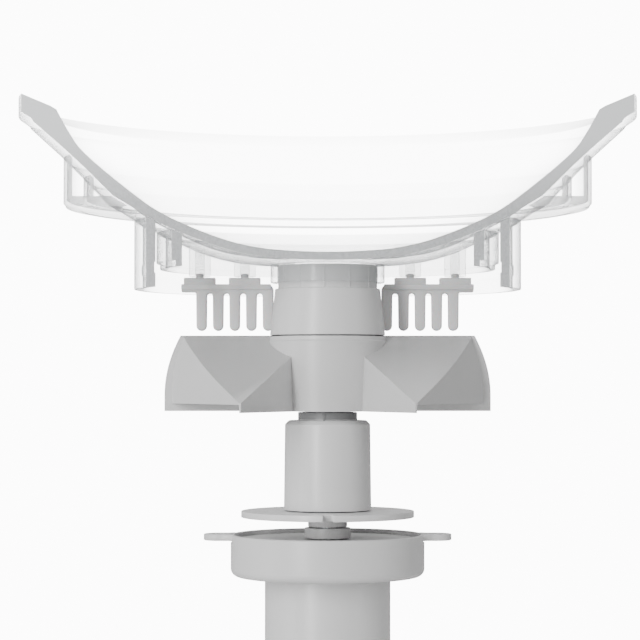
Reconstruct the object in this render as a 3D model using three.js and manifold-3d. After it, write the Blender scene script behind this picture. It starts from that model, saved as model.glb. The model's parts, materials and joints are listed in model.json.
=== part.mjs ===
// Dispensing unit of an automatic pet feeder: a clear food hopper, cut open at the front, over a
// slow turning rotor that is driven by a small gearmotor standing on a round foot.
// Millimetres, +Z up. The origin is the centre of the foot's underside, on the rotor's axis.

import * as THREE from "three";
import { mergeVertices } from "three/addons/utils/BufferGeometryUtils.js";
import Module from "manifold-3d";

const wasm = await Module();
wasm.setup();

// ---------------------------------------------------------------- driving dimensions

const GAP = 0.3; // clearance between pieces that touch or run together
const ROUND = 40; // facets round a large piece
const MEDIUM = 24; // facets round a medium piece
const SMALL = 12; // facets round a screw or a pin

const FOOT = { padRadius: 39, padHeight: 1.8, radius: 41, plateTop: 6, collarRadius: 23, collarTop: 16 };
const CAN = { radius: 18.8, wall: 2, top: 52.1, plate: 1.8 };
const BOARD = { radius: 16.4, bottom: 9.4, thickness: 1.6, postSpread: 12 };
const MOTOR = { radius: 14, bottom: 17.3, top: 50, bossRadius: 3.4, bossTop: 53.6, shaftRadius: 1 };
const SCREW = { shankRadius: 1, headRadius: 2, headHeight: 1.1, holeRadius: 1.3 };
const MOTOR_SCREW_SPREAD = 8;

const DRUM = { radius: 29, wall: 1.2, bottom: 52.4, floor: 2.2, top: 64.9, fillet: 2.4 };
const EAR = { reach: 37.1, width: 9, bottom: 63.1, top: 65.1 };
const EAR_SLOT = { centre: 32.8, radius: 1.6, length: 4 };
const EAR_RELIEF = { halfWidth: 9.5, depth: 0.6, height: 0.7 };
const LID = { radius: 27.5, bottom: 62, top: 63.5, screwSpread: 23.8, postRadius: 2.8, screwSeat: 53.7 };

const GEAR = { module: 0.65, large: 28, small: 12, addendum: 0.85, dedendum: 1.25 };
const LAY_OFFSET = (GEAR.module * (GEAR.large + GEAR.small)) / 2; // centre distance of both stages
const LAY_PIN_RADIUS = 1.5;
const OUTPUT = { radius: 2.5, bottom: 58, top: 119 };
const BUSH = { radius: 6.9, top: 66.9, neckRadius: 4.5 };
const DISC = { radius: 25.9, bottom: 70, top: 71.9, hubRadius: 5.9, hubBottom: 67.2 };
const NOTCH = { width: 3, depth: 4 };
const SLEEVE = { bottom: 72.2, footRadius: 13.1, topRadius: 12.8, chamferRadius: 11.6, shoulder: 99 };
const NECK = { radius: 8.9, top: 101.4, hexRadius: 6.6, hexTop: 109 };

const ROTOR = { bottom: 101.7, ridge: 124.35, ridgeRadius: 44.1, rimRadius: 48.9, rimTop: 106.5 };
const ROOF_SLOPE = 25.2; // degrees
const POCKET = { halfAngle: 25.9, apex: 8.3 }; // the walls meet this far beyond the axis
const ROTOR_HUB = { footRadius: 16.2, topRadius: 17.9, shoulder: 122.5, top: 124 };
const WING = { lip: 0.8, rimInset: 1.9, ridgeInset: 1.1, rib: 1.6, panelBottom: 104, wall: 2.2 };
const GABLE_TAPER = 0.53; // how fast a wing's end panels narrow it, away from the rib
const CAP = { bottom: 124.4, footRadius: 17.3, coneTop: 138.3, topRadius: 15.75, wall: 2.1 };
const SPIGOT = { radius: 14.7, top: 145.3, ribs: 12, ribWidth: 0.5, ribHeight: 0.2 };

const CUT_Y = -24; // the hopper is cut open along this plane
const BOWL = { floorTop: 148.2, floorBottom: 145.9, facets: 48 };
const SKIRT = { outer: 78.9, inner: 73, wall: 1, ledgeBottom: 161.5, ledgeTop: 164.4, seam: 160.2 };
const CHAMBER = { radius: 57.9, wall: 2.5, bottom: 138, top: 159.9 };
const GUIDE = { radius: 51.3, wall: 2.7, lipRadius: 50.2, bottom: 144, lipTop: 145.8 };
const COLLAR = { radius: 17.1, bore: 15.1, bottom: 140.1, top: 145.6 };
const CENTRE_BOSS = { radius: 10.35, bottom: 143 };
const OUTLET = { inner: 20, outer: 44, angle: 60 };

const COMB = { depth: 10, pitch: 5.05, fingers: 5, innerFinger: 18.1, rootWidth: 3.4, tipWidth: 3.2 };
const COMB_Z = { tip: 125.9, root: 137.65, hinge: 138.75, barTop: 140.15, padTop: 142.1, pegTop: 143.4 };
const COMB_BAR = { inner: 16.4, outer: 44.5, thickness: 4, fingerThickness: 2.4 };
const POST = { places: [25.2, 38.9], radius: 3.3, bore: 1.5, bottom: 142.4, padWidth: 9.6 };

// ---------------------------------------------------------------- materials

function moulded(color, roughness = 0.45) {
  return new THREE.MeshStandardMaterial({ color, roughness, metalness: 0 });
}

function metal(color, roughness = 0.3) {
  return new THREE.MeshStandardMaterial({ color, roughness, metalness: 1 });
}

const CLEAR_PLASTIC = new THREE.MeshStandardMaterial({
  color: 0xeef1f2,
  roughness: 0.08,
  metalness: 0,
  transparent: true,
  opacity: 0.35,
});
const GREY_ABS = moulded(0xcbcbcb);
const PALE_ABS = moulded(0xd4d4d4);
const SILICONE = moulded(0xbfbfbf, 0.6);
const ACETAL = moulded(0xf0efe8, 0.35);
const BLACK_PLASTIC = moulded(0x202224, 0.5);
const CIRCUIT_GREEN = moulded(0x1f6b45, 0.5);
const RUBBER = moulded(0x3a3b3d, 0.8);
const STEEL = metal(0xb9bcc0);
const MOTOR_STEEL = metal(0xa9adb2, 0.35);
const BRASS = metal(0xc9a856);

// ---------------------------------------------------------------- solid helpers

// A closed surface, as a solid that can be joined and cut.
function solid(geometry) {
  const bare = new THREE.BufferGeometry();
  bare.setAttribute("position", geometry.getAttribute("position"));
  bare.setIndex(geometry.index);
  const merged = mergeVertices(bare, 1e-4);
  const corners = merged.index.array;
  const triangles = [];
  for (let i = 0; i < corners.length; i += 3) {
    const [a, b, c] = corners.slice(i, i + 3);
    if (a !== b && b !== c && c !== a) triangles.push(a, b, c);
  }
  const mesh = new wasm.Mesh({
    numProp: 3,
    vertProperties: new Float32Array(merged.getAttribute("position").array),
    triVerts: new Uint32Array(triangles),
  });
  return new wasm.Manifold(mesh);
}

// The surface of a solid, ready for a mesh.
function surface(shape) {
  const { vertProperties, triVerts } = shape.getMesh();
  const geometry = new THREE.BufferGeometry();
  geometry.setAttribute("position", new THREE.BufferAttribute(vertProperties, 3));
  geometry.setIndex(new THREE.BufferAttribute(triVerts, 1));
  geometry.computeVertexNormals();
  return geometry;
}

const joined = (...shapes) => shapes.reduce((whole, shape) => whole.add(shape));
const without = (shape, ...cuts) => cuts.reduce((rest, cut) => rest.subtract(cut), shape);

// A profile of [radius, height] points turned round +Z.
function revolve(profile, facets = ROUND) {
  const points = profile.map(([radius, height]) => new THREE.Vector2(radius, height));
  if (THREE.ShapeUtils.isClockWise(points)) points.reverse();
  if (Math.min(...points.map((point) => point.x)) > 0) points.push(points[0].clone());
  else while (points[0].x > 0 || points[points.length - 1].x > 0) points.push(points.shift());
  const lathe = new THREE.LatheGeometry(points, facets);
  return solid(lathe.rotateX(Math.PI / 2));
}

const disc = (radius, bottom, top, facets = MEDIUM) =>
  revolve([[0, bottom], [radius, bottom], [radius, top], [0, top]], facets);

const tube = (outer, inner, bottom, top, facets = MEDIUM) =>
  revolve([[inner, bottom], [outer, bottom], [outer, top], [inner, top]], facets);

function box([x0, x1], [y0, y1], [z0, z1]) {
  const geometry = new THREE.BoxGeometry(x1 - x0, y1 - y0, z1 - z0);
  return solid(geometry.translate((x0 + x1) / 2, (y0 + y1) / 2, (z0 + z1) / 2));
}

// A flat outline in X and Y, raised from bottom to top.
function raised(shape, bottom, top, curveSegments = 8) {
  const settings = { depth: top - bottom, bevelEnabled: false, curveSegments };
  return solid(new THREE.ExtrudeGeometry(shape, settings).translate(0, 0, bottom));
}

// An outline in X and Z, thickened along Y about the given depth.
function upright(shape, y, thickness, curveSegments = 6) {
  const settings = { depth: thickness, bevelEnabled: false, curveSegments };
  const geometry = new THREE.ExtrudeGeometry(shape, settings);
  return solid(geometry.rotateX(Math.PI / 2).translate(0, y + thickness / 2, 0));
}

// A sector of a ring, centred on the given azimuth in degrees.
function sector(inner, outer, azimuth, angle, bottom, top) {
  const middle = THREE.MathUtils.degToRad(azimuth);
  const half = THREE.MathUtils.degToRad(angle / 2);
  const shape = new THREE.Shape();
  shape.absarc(0, 0, outer, middle - half, middle + half, false);
  shape.absarc(0, 0, inner, middle + half, middle - half, true);
  shape.closePath();
  return raised(shape, bottom, top, SMALL);
}

// A screw standing on its shank, with the underside of its head at the given height.
function screw(tip, seat) {
  const { shankRadius, headRadius, headHeight } = SCREW;
  const dome = headHeight * 0.3;
  const profile = [
    [0, tip],
    [shankRadius * 0.6, tip],
    [shankRadius, tip + shankRadius * 0.6],
    [shankRadius, seat],
    [headRadius, seat],
    [headRadius, seat + headHeight - dome],
    [headRadius - dome, seat + headHeight],
    [0, seat + headHeight],
  ];
  const slotHeights = [seat + headHeight * 0.5, seat + headHeight * 2];
  const slot = box([-headRadius, headRadius], [-0.3, 0.3], slotHeights);
  return without(revolve(profile, SMALL), slot);
}

// ---------------------------------------------------------------- scene graph

const assembly = new THREE.Group();
const motorUnit = new THREE.Group();
const rotorUnit = new THREE.Group();
const layUnit = new THREE.Group();
const hopperUnit = new THREE.Group();
layUnit.position.y = LAY_OFFSET;
assembly.add(motorUnit, rotorUnit, layUnit, hopperUnit);

function place(group, name, shape, material, x = 0, y = 0) {
  const mesh = new THREE.Mesh(surface(shape), material);
  mesh.name = name;
  mesh.position.set(x, y, 0);
  group.add(mesh);
  return mesh;
}

// Evenly spaced places on a circle, as [x, y, azimuth in radians].
function around(count, radius, firstDegrees) {
  return Array.from({ length: count }, (_, i) => {
    const azimuth = THREE.MathUtils.degToRad(firstDegrees + (360 / count) * i);
    return [radius * Math.cos(azimuth), radius * Math.sin(azimuth), azimuth];
  });
}

// ---------------------------------------------------------------- foot and motor

const CONNECTOR = { halfWidth: 4.4, front: 14, back: 24.4, bottom: 11.3, top: 16.6 };
const connectorWindow = () =>
  box(
    [-CONNECTOR.halfWidth - GAP, CONNECTOR.halfWidth + GAP],
    [CONNECTOR.front, FOOT.radius],
    [CONNECTOR.bottom - GAP, FOOT.collarTop + 1 + GAP],
  );

const FOOT_SCREW = { height: 12, tip: 17.3, seat: FOOT.collarRadius + GAP, azimuths: 3 };

// Radial holes through the collar and the can for the three foot screws.
function footScrewHoles() {
  return around(FOOT_SCREW.azimuths, 0, -90).map(([, , azimuth]) => {
    const hole = new THREE.CylinderGeometry(SCREW.holeRadius, SCREW.holeRadius, 14, SMALL);
    hole.rotateZ(Math.PI / 2).translate(FOOT_SCREW.seat - 5, 0, FOOT_SCREW.height);
    return solid(hole.rotateZ(azimuth));
  });
}

function motorFoot() {
  const { radius, padHeight, plateTop, collarRadius, collarTop } = FOOT;
  const bottom = padHeight + GAP;
  const bore = CAN.radius + GAP;
  const profile = [
    [0, bottom],
    [radius, bottom],
    [radius, plateTop - 1.5],
    [radius - 1.5, plateTop],
    [collarRadius + 2, plateTop],
    [collarRadius, plateTop + 2],
    [collarRadius, collarTop - 0.8],
    [collarRadius - 0.8, collarTop],
    [bore, collarTop],
    [bore, plateTop],
    [0, plateTop],
  ];
  const posts = around(3, BOARD.postSpread, 30).map(([x, y]) =>
    disc(1.8, plateTop - 1, BOARD.bottom - GAP, SMALL).translate([x, y, 0]),
  );
  return without(joined(revolve(profile), ...posts), connectorWindow(), ...footScrewHoles());
}

function motorCan() {
  const bottom = FOOT.plateTop + GAP;
  const inner = CAN.radius - CAN.wall;
  const shell = revolve([
    [inner, bottom],
    [CAN.radius, bottom],
    [CAN.radius, CAN.top],
    [MOTOR.bossRadius + GAP, CAN.top],
    [MOTOR.bossRadius + GAP, CAN.top - CAN.plate],
    [inner, CAN.top - CAN.plate],
  ]);
  return without(shell, connectorWindow(), ...footScrewHoles(), ...motorScrewHoles());
}

const motorScrewPlaces = around(2, MOTOR_SCREW_SPREAD, 0);
const motorScrewTip = MOTOR.top - 4;
const motorScrewHoles = () =>
  motorScrewPlaces.map(([x, y]) =>
    disc(SCREW.holeRadius, motorScrewTip - 0.5, DRUM.bottom + 4, SMALL).translate([x, y, 0]),
  );

function motorBody() {
  const { radius, bottom, top, bossRadius, bossTop, shaftRadius } = MOTOR;
  const body = revolve(
    [
      [0, bottom],
      [radius, bottom],
      [radius, top - 1],
      [radius - 1, top],
      [bossRadius, top],
      [bossRadius, bossTop],
      [0, bossTop],
    ],
    MEDIUM,
  );
  const bore = disc(shaftRadius + GAP, bottom + 3, bossTop + 1, SMALL);
  return without(body, bore, ...motorScrewHoles());
}

const TERMINAL = { x: 5, width: 0.8, depth: 2.4, bottom: 8.6 };
const terminal = (x, spare) =>
  box(
    [x - TERMINAL.width / 2 - spare, x + TERMINAL.width / 2 + spare],
    [-TERMINAL.depth / 2 - spare, TERMINAL.depth / 2 + spare],
    [TERMINAL.bottom - spare, MOTOR.bottom - 4.6],
  );

function controlBoard() {
  const plate = disc(BOARD.radius, BOARD.bottom, BOARD.bottom + BOARD.thickness);
  return without(plate, terminal(-TERMINAL.x, GAP), terminal(TERMINAL.x, GAP));
}

function boardConnector() {
  const { halfWidth, front, back, bottom, top } = CONNECTOR;
  const shell = box([-halfWidth, halfWidth], [front, back], [bottom, top]);
  const mouth = box([1 - halfWidth, halfWidth - 1], [back - 6, back + 1], [bottom + 1, top - 1]);
  return without(shell, mouth);
}

function buildMotorUnit() {
  place(motorUnit, "foot_pad", disc(FOOT.padRadius, 0, FOOT.padHeight, ROUND), RUBBER);
  place(motorUnit, "motor_foot", motorFoot(), GREY_ABS);
  around(FOOT_SCREW.azimuths, 0, -90).forEach(([, , azimuth], i) => {
    const lying = screw(FOOT_SCREW.tip, FOOT_SCREW.seat).rotate([0, 90, 0]);
    const turned = lying.rotate([0, 0, THREE.MathUtils.radToDeg(azimuth)]);
    place(motorUnit, `foot_screw_${i + 1}`, turned.translate([0, 0, FOOT_SCREW.height]), STEEL);
  });
  place(motorUnit, "control_board", controlBoard(), CIRCUIT_GREEN);
  place(motorUnit, "board_connector", boardConnector(), BLACK_PLASTIC);
  place(motorUnit, "motor_can", motorCan(), GREY_ABS);
  place(motorUnit, "motor_body", motorBody(), MOTOR_STEEL);
  const endCap = disc(MOTOR.radius - 0.6, MOTOR.bottom - 4.3, MOTOR.bottom - GAP);
  place(motorUnit, "motor_end_cap", endCap, BLACK_PLASTIC);
  [-TERMINAL.x, TERMINAL.x].forEach((x, i) => {
    place(motorUnit, `motor_terminal_${i + 1}`, terminal(x, 0), BRASS);
  });
  motorScrewPlaces.forEach(([x, y], i) => {
    const downwards = screw(motorScrewTip, DRUM.bottom + DRUM.floor + GAP);
    place(motorUnit, `motor_screw_${i + 1}`, downwards, STEEL, x, y);
  });
}

// ---------------------------------------------------------------- gearbox

const lidScrewPlaces = around(4, LID.screwSpread, 45);
const lidScrewTip = 59.6;

// Mounting ear with a slotted hole, on the side given by -1 or 1.
function ear(side) {
  const half = EAR.width / 2;
  const centre = EAR.reach - half;
  const shape = new THREE.Shape();
  shape.moveTo(DRUM.radius - DRUM.wall, -half - 2);
  shape.lineTo(DRUM.radius + 1.2, -half);
  shape.lineTo(centre, -half);
  shape.absarc(centre, 0, half, -Math.PI / 2, Math.PI / 2, false);
  shape.lineTo(DRUM.radius + 1.2, half);
  shape.lineTo(DRUM.radius - DRUM.wall, half + 2);
  shape.closePath();
  const straight = EAR_SLOT.length - 2 * EAR_SLOT.radius;
  const slot = new THREE.Path();
  slot.absarc(EAR_SLOT.centre, straight / 2, EAR_SLOT.radius, 0, Math.PI, false);
  slot.absarc(EAR_SLOT.centre, -straight / 2, EAR_SLOT.radius, Math.PI, 2 * Math.PI, false);
  slot.closePath();
  shape.holes.push(slot);
  const plate = raised(shape, EAR.bottom, EAR.top);
  return side > 0 ? plate : plate.rotate([0, 0, 180]);
}

function gearboxHousing() {
  const { radius, wall, bottom, floor, top, fillet } = DRUM;
  const inner = radius - wall;
  const arc = [0, 22.5, 45, 67.5, 90].map((degrees) => {
    const angle = THREE.MathUtils.degToRad(degrees);
    return [radius - fillet + fillet * Math.sin(angle), bottom + fillet - fillet * Math.cos(angle)];
  });
  const inside = [[inner, bottom + floor], [0, bottom + floor]];
  const cup = revolve([[0, bottom], ...arc, [radius, top], [inner, top], ...inside]);
  const ears = without(joined(ear(1), ear(-1)), disc(inner, EAR.bottom - 1, EAR.top + 1, ROUND));
  const screwHoles = lidScrewPlaces.map(([x, y]) => {
    const hole = disc(SCREW.holeRadius, bottom - 1, bottom + floor + 1, SMALL);
    const recess = disc(SCREW.headRadius + GAP, bottom - 1, LID.screwSeat + GAP / 2, SMALL);
    return joined(hole, recess).translate([x, y, 0]);
  });
  const layBoss = disc(3, bottom + 1, bottom + floor + 0.5, SMALL).translate([0, LAY_OFFSET, 0]);
  const laySocket = disc(LAY_PIN_RADIUS + GAP, bottom + 0.8, top, SMALL).translate([0, LAY_OFFSET, 0]);
  const motorHole = disc(MOTOR.bossRadius + GAP, bottom - 1, bottom + floor + 1, SMALL);
  const relief = [-1, 1].map((side) => {
    const across = [side * (radius - EAR_RELIEF.depth), side * (radius + 1)].sort((a, b) => a - b);
    const along = [-EAR_RELIEF.halfWidth, EAR_RELIEF.halfWidth];
    return box(across, along, [EAR.bottom - EAR_RELIEF.height, EAR.bottom]);
  });
  const body = without(joined(cup, layBoss), ...relief);
  return without(joined(body, ears), ...screwHoles, laySocket, motorHole, ...motorScrewHoles());
}

function gearboxLid() {
  const plate = tube(LID.radius, BUSH.neckRadius + GAP, LID.bottom, LID.top, ROUND);
  const posts = lidScrewPlaces.map(([x, y]) =>
    disc(LID.postRadius, DRUM.bottom + DRUM.floor + GAP, LID.bottom + 1, SMALL).translate([x, y, 0]),
  );
  const holes = lidScrewPlaces.map(([x, y]) =>
    disc(SCREW.holeRadius, DRUM.bottom, lidScrewTip + 0.5, SMALL).translate([x, y, 0]),
  );
  const laySocket = disc(LAY_PIN_RADIUS + GAP, LID.bottom - 1, LID.top - 0.6, SMALL);
  return without(joined(plate, ...posts), ...holes, laySocket.translate([0, LAY_OFFSET, 0]));
}

// Spur gear between two heights, with a tooth centred on the given azimuth in degrees.
function gear(teeth, toothAzimuth, bore, bottom, top) {
  const pitchRadius = (GEAR.module * teeth) / 2;
  const stations = [
    [pitchRadius - GEAR.dedendum * GEAR.module, 0.29],
    [pitchRadius, 0.2],
    [pitchRadius + GEAR.addendum * GEAR.module, 0.1],
  ];
  const flank = [...stations.map(([r, half]) => [r, -half]), ...stations.toReversed()];
  const step = (2 * Math.PI) / teeth;
  const points = [];
  for (let tooth = 0; tooth < teeth; tooth += 1) {
    const middle = THREE.MathUtils.degToRad(toothAzimuth) + tooth * step;
    flank.forEach(([r, share]) => {
      const angle = middle + share * step;
      points.push(new THREE.Vector2(r * Math.cos(angle), r * Math.sin(angle)));
    });
  }
  const shape = new THREE.Shape(points);
  const hole = new THREE.Path();
  hole.absarc(0, 0, bore, 0, 2 * Math.PI, false);
  shape.holes.push(hole);
  return raised(shape, bottom, top);
}

function outputBush() {
  const bore = OUTPUT.radius + GAP;
  return revolve(
    [
      [bore, LID.bottom + 0.1],
      [BUSH.neckRadius, LID.bottom + 0.1],
      [BUSH.neckRadius, LID.top + GAP],
      [BUSH.radius, LID.top + GAP],
      [BUSH.radius, BUSH.top - 0.4],
      [BUSH.radius - 0.4, BUSH.top],
      [bore, BUSH.top],
    ],
    MEDIUM,
  );
}

function positionSensor() {
  const base = box([-2.8, 2.8], [18.6, 24.4], [LID.top + GAP, 65.4]);
  const head = box([-1.9, 1.9], [19.6, 23.4], [65, 66.8]);
  return joined(base, head);
}

function buildGearbox() {
  place(motorUnit, "gearbox_housing", gearboxHousing(), GREY_ABS);
  place(motorUnit, "gearbox_lid", gearboxLid(), GREY_ABS);
  lidScrewPlaces.forEach(([x, y], i) => {
    const upwards = screw(-lidScrewTip, -LID.screwSeat).rotate([180, 0, 0]);
    place(motorUnit, `lid_screw_${i + 1}`, upwards, STEEL, x, y);
  });
  place(motorUnit, "output_bush", outputBush(), GREY_ABS);
  place(motorUnit, "position_sensor", positionSensor(), BLACK_PLASTIC);
  const layPin = disc(LAY_PIN_RADIUS, DRUM.bottom + 1.1, LID.top - 0.9, SMALL);
  place(motorUnit, "lay_pin", layPin, STEEL, 0, LAY_OFFSET);
}

// ---------------------------------------------------------------- gear train

const TRAIN = {
  motorPinion: [55, 57.5],
  layGear: [55.4, 57.3],
  layPinion: [57.6, 60.8],
  outputGear: [58.2, 60.4],
};
const largeHalfPitch = 180 / GEAR.large;

function buildGearTrain() {
  const { motorPinion, layGear, layPinion, outputGear } = TRAIN;
  const motorShaft = disc(MOTOR.shaftRadius, MOTOR.bottom + 3.5, motorPinion[1] + 0.2, SMALL);
  place(motorUnit, "motor_shaft", motorShaft, STEEL);
  const layBore = LAY_PIN_RADIUS + GAP;
  const pinion = gear(GEAR.small, 90, MOTOR.shaftRadius + GAP, ...motorPinion);
  const output = gear(GEAR.large, 90 + largeHalfPitch, OUTPUT.radius + GAP, ...outputGear);
  place(motorUnit, "motor_pinion", pinion, BRASS);
  place(layUnit, "lay_gear", gear(GEAR.large, 270 + largeHalfPitch, layBore, ...layGear), ACETAL);
  place(layUnit, "lay_pinion", gear(GEAR.small, 270, layBore, ...layPinion), ACETAL);
  place(rotorUnit, "output_gear", output, ACETAL);
}

// ---------------------------------------------------------------- drive line

function indexDisc() {
  const { radius, bottom, top, hubRadius, hubBottom } = DISC;
  const half = NOTCH.width / 2;
  const notch = box([-half, half], [-radius - 1, NOTCH.depth - radius], [bottom - 1, top + 1]);
  const bore = OUTPUT.radius + GAP;
  const plate = revolve([
    [bore, hubBottom],
    [hubRadius, hubBottom],
    [hubRadius, bottom],
    [radius, bottom],
    [radius, top],
    [bore, top],
  ]);
  return without(plate, notch);
}

function driveSleeve() {
  const bore = OUTPUT.radius + GAP;
  const { bottom, footRadius, topRadius, chamferRadius, shoulder } = SLEEVE;
  const body = revolve([
    [bore, bottom],
    [footRadius, bottom],
    [topRadius, shoulder - 1.2],
    [chamferRadius, shoulder],
    [NECK.radius, shoulder],
    [NECK.radius, NECK.top],
    [bore, NECK.top],
  ]);
  const dog = tube(NECK.hexRadius, bore, NECK.top - 1, NECK.hexTop, 6);
  const dogBore = disc(bore, NECK.top - 2, NECK.hexTop + 1);
  return without(joined(body, dog), dogBore);
}

function buildDriveLine() {
  const shaft = disc(OUTPUT.radius, OUTPUT.bottom, OUTPUT.top, SMALL);
  const clip = tube(4.4, OUTPUT.radius + GAP, 60.7, 61.7, SMALL);
  place(rotorUnit, "output_shaft", shaft, STEEL);
  place(rotorUnit, "shaft_clip", clip, STEEL);
  place(rotorUnit, "index_disc", indexDisc(), PALE_ABS);
  place(rotorUnit, "drive_sleeve", driveSleeve(), PALE_ABS);
}

// ---------------------------------------------------------------- rotor

// Radius of the rotor's sweep at stations from its upright foot, in along an arc, to the ridge.
const sweepStations = Array.from({ length: 6 }, (_, i) => {
  const share = i / 5;
  const radius = ROTOR.rimRadius + (ROTOR.ridgeRadius - ROTOR.rimRadius) * share ** 2;
  return { share, radius, height: ROTOR.rimTop + (ROTOR.ridge - ROTOR.rimTop) * share };
});

// Everything inside the rotor's sweep.
function sweep() {
  const arc = sweepStations.map(({ radius, height }) => [radius, height]);
  const { bottom, ridge, ridgeRadius, rimRadius } = ROTOR;
  const lid = [[ridgeRadius, ridge + 1], [0, ridge + 1]];
  return revolve([[0, bottom], [rimRadius, bottom], ...arc, ...lid], BOWL.facets);
}

// Everything between the wings' end panels, which follow the sweep a little inside it at the rib.
function betweenGables(inset) {
  const { rimInset, ridgeInset } = WING;
  const arc = sweepStations.map(({ share, radius, height }) => [
    radius - inset - rimInset - (ridgeInset - rimInset) * share,
    height,
  ]);
  const [rimRadius] = arc[0];
  const [ridgeRadius] = arc[arc.length - 1];
  const bottom = ROTOR.bottom - 5;
  const top = ROTOR.ridge + 5;
  const profile = [[0, bottom], [rimRadius, bottom], ...arc, [ridgeRadius, top], [0, top]];
  return revolve(profile, 4).scale([1, 1 / GABLE_TAPER, 1]);
}

// Roof-shaped prism with its ridge along X, lowered by the given amount.
function roof(lowered) {
  const reach = 60;
  const drop = reach * Math.tan(THREE.MathUtils.degToRad(ROOF_SLOPE));
  const ridge = ROTOR.ridge - lowered;
  const section = new THREE.Shape([
    new THREE.Vector2(-reach, ROTOR.bottom - 30),
    new THREE.Vector2(reach, ROTOR.bottom - 30),
    new THREE.Vector2(reach, ridge - drop),
    new THREE.Vector2(0, ridge),
    new THREE.Vector2(-reach, ridge - drop),
  ]);
  const prism = upright(section, 0, 2 * reach);
  return prism.rotate([0, 0, 90]);
}

// Everything inside the two open pockets, grown or shrunk by the given amount.
function pockets(shrink) {
  const span = 80;
  const half = THREE.MathUtils.degToRad(POCKET.halfAngle);
  const tip = shrink / Math.sin(half) - POCKET.apex;
  const wedge = new THREE.Shape([
    new THREE.Vector2(0, tip),
    new THREE.Vector2(span * Math.tan(half), span + tip),
    new THREE.Vector2(-span * Math.tan(half), span + tip),
  ]);
  const rear = raised(wedge, ROTOR.bottom - 5, ROTOR.ridge + 5);
  return joined(rear, rear.rotate([0, 0, 180]));
}

function rotorHub() {
  return revolve([
    [0, ROTOR.bottom],
    [ROTOR_HUB.footRadius, ROTOR.bottom],
    [ROTOR_HUB.topRadius, ROTOR_HUB.shoulder],
    [ROTOR_HUB.topRadius - 0.5, ROTOR_HUB.top],
    [0, ROTOR_HUB.top],
  ]);
}

function rotor() {
  const ribs = box([-60, 60], [-WING.rib / 2, WING.rib / 2], [ROTOR.bottom, ROTOR.ridge]);
  const walls = pockets(-WING.lip);
  const skirt = joined(ribs, disc(60, ROTOR.bottom - 1, WING.panelBottom).intersect(walls));
  const wings = joined(betweenGables(0), skirt).intersect(sweep()).intersect(roof(0)).subtract(pockets(0));
  const underCut = disc(60, ROTOR.bottom - 5, WING.panelBottom + 0.01).subtract(joined(ribs, walls));
  const core = betweenGables(WING.wall)
    .intersect(roof(WING.wall))
    .subtract(joined(ribs, pockets(-WING.wall), rotorHub()));
  const shell = without(wings, underCut, core);
  const bore = OUTPUT.radius + GAP;
  const socket = disc(NECK.hexRadius + GAP + 0.1, ROTOR.bottom - 1, NECK.hexTop + GAP, 6);
  const counterbore = disc(11, OUTPUT.top - 3, ROTOR_HUB.top + 6);
  const seat = tube(14.2, 12.2, ROTOR_HUB.top - 1, ROTOR_HUB.top + 3);
  const whole = joined(shell, rotorHub(), seat);
  return without(whole, socket, disc(bore, ROTOR.bottom, ROTOR.ridge, SMALL), counterbore);
}

// Hollow cone above the rotor, with a ribbed spigot that turns in the hopper's collar.
function rotorCap() {
  const { bottom, footRadius, coneTop, topRadius, wall } = CAP;
  const { radius, top, ribWidth, ribHeight } = SPIGOT;
  const cone = revolve([
    [footRadius - wall, bottom],
    [footRadius, bottom],
    [topRadius, coneTop],
    [radius, coneTop],
    [radius, top - 0.5],
    [radius - 0.5, top],
    [radius - wall, top],
    [radius - wall, coneTop - 1],
  ]);
  const halfWidth = ribWidth / 2;
  const ribs = around(SPIGOT.ribs, radius, -94).map(([x, y, azimuth]) => {
    const rib = box([-0.4, ribHeight], [-halfWidth, halfWidth], [coneTop - 0.2, top - 0.5]);
    return rib.rotate([0, 0, THREE.MathUtils.radToDeg(azimuth)]).translate([x, y, 0]);
  });
  return joined(cone, ...ribs);
}

function buildRotor() {
  const washer = tube(7, OUTPUT.radius + GAP, OUTPUT.top - 3 + GAP, OUTPUT.top - 2 + GAP, MEDIUM);
  const nutBottom = OUTPUT.top - 2 + 2 * GAP;
  const nutBore = disc(OUTPUT.radius + GAP, nutBottom - 1, nutBottom + 5);
  const nut = disc(5, nutBottom, nutBottom + 3.2, 6).subtract(nutBore);
  place(rotorUnit, "rotor", rotor(), GREY_ABS);
  place(rotorUnit, "rotor_cap", rotorCap(), PALE_ABS);
  place(rotorUnit, "rotor_washer", washer, STEEL);
  place(rotorUnit, "rotor_nut", nut, STEEL);
}

// ---------------------------------------------------------------- hopper

// Inside of the bowl from its flat floor, up the flared wall and over the knee to the rim.
const BOWL_INSIDE = [
  [24, BOWL.floorTop],
  [32, 149.6],
  [41, 152.9],
  [53.8, 159.4],
  [63.4, 166.8],
  [74.7, 177],
  [78.9, 183],
  [82.4, 189.6],
];
const RIM_TOP = [
  [84, 190.6],
  [92.2, 194.2],
];
const RIM_UNDERSIDE = [
  [92.2, 188.9],
  [89.4, 187],
  [88.8, 186],
  [80.1, 178.1],
  [74.4, 172.5],
  [66.7, 164.4],
];
const BOWL_OUTSIDE = [
  [66.7, 164.4],
  [55, 157],
  [42, 150.7],
  [32.6, 147.3],
  [24, BOWL.floorBottom],
];
const ABOVE = 215; // height well over the rim, for cutting

// A smooth line through the given points.
function smooth(points, pieces) {
  const line = new THREE.SplineCurve(points.map(([r, z]) => new THREE.Vector2(r, z)));
  return line.getPoints(pieces).map((point) => [point.x, point.y]);
}

const insideLine = smooth(BOWL_INSIDE, 12);
const outsideLine = smooth(BOWL_OUTSIDE, 6);

// All of the space inside the bowl and above it.
function bowlSpace() {
  const profile = [[0, BOWL.floorTop], ...insideLine, ...RIM_TOP, [95, ABOVE], [0, ABOVE]];
  return revolve(profile, BOWL.facets);
}

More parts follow.
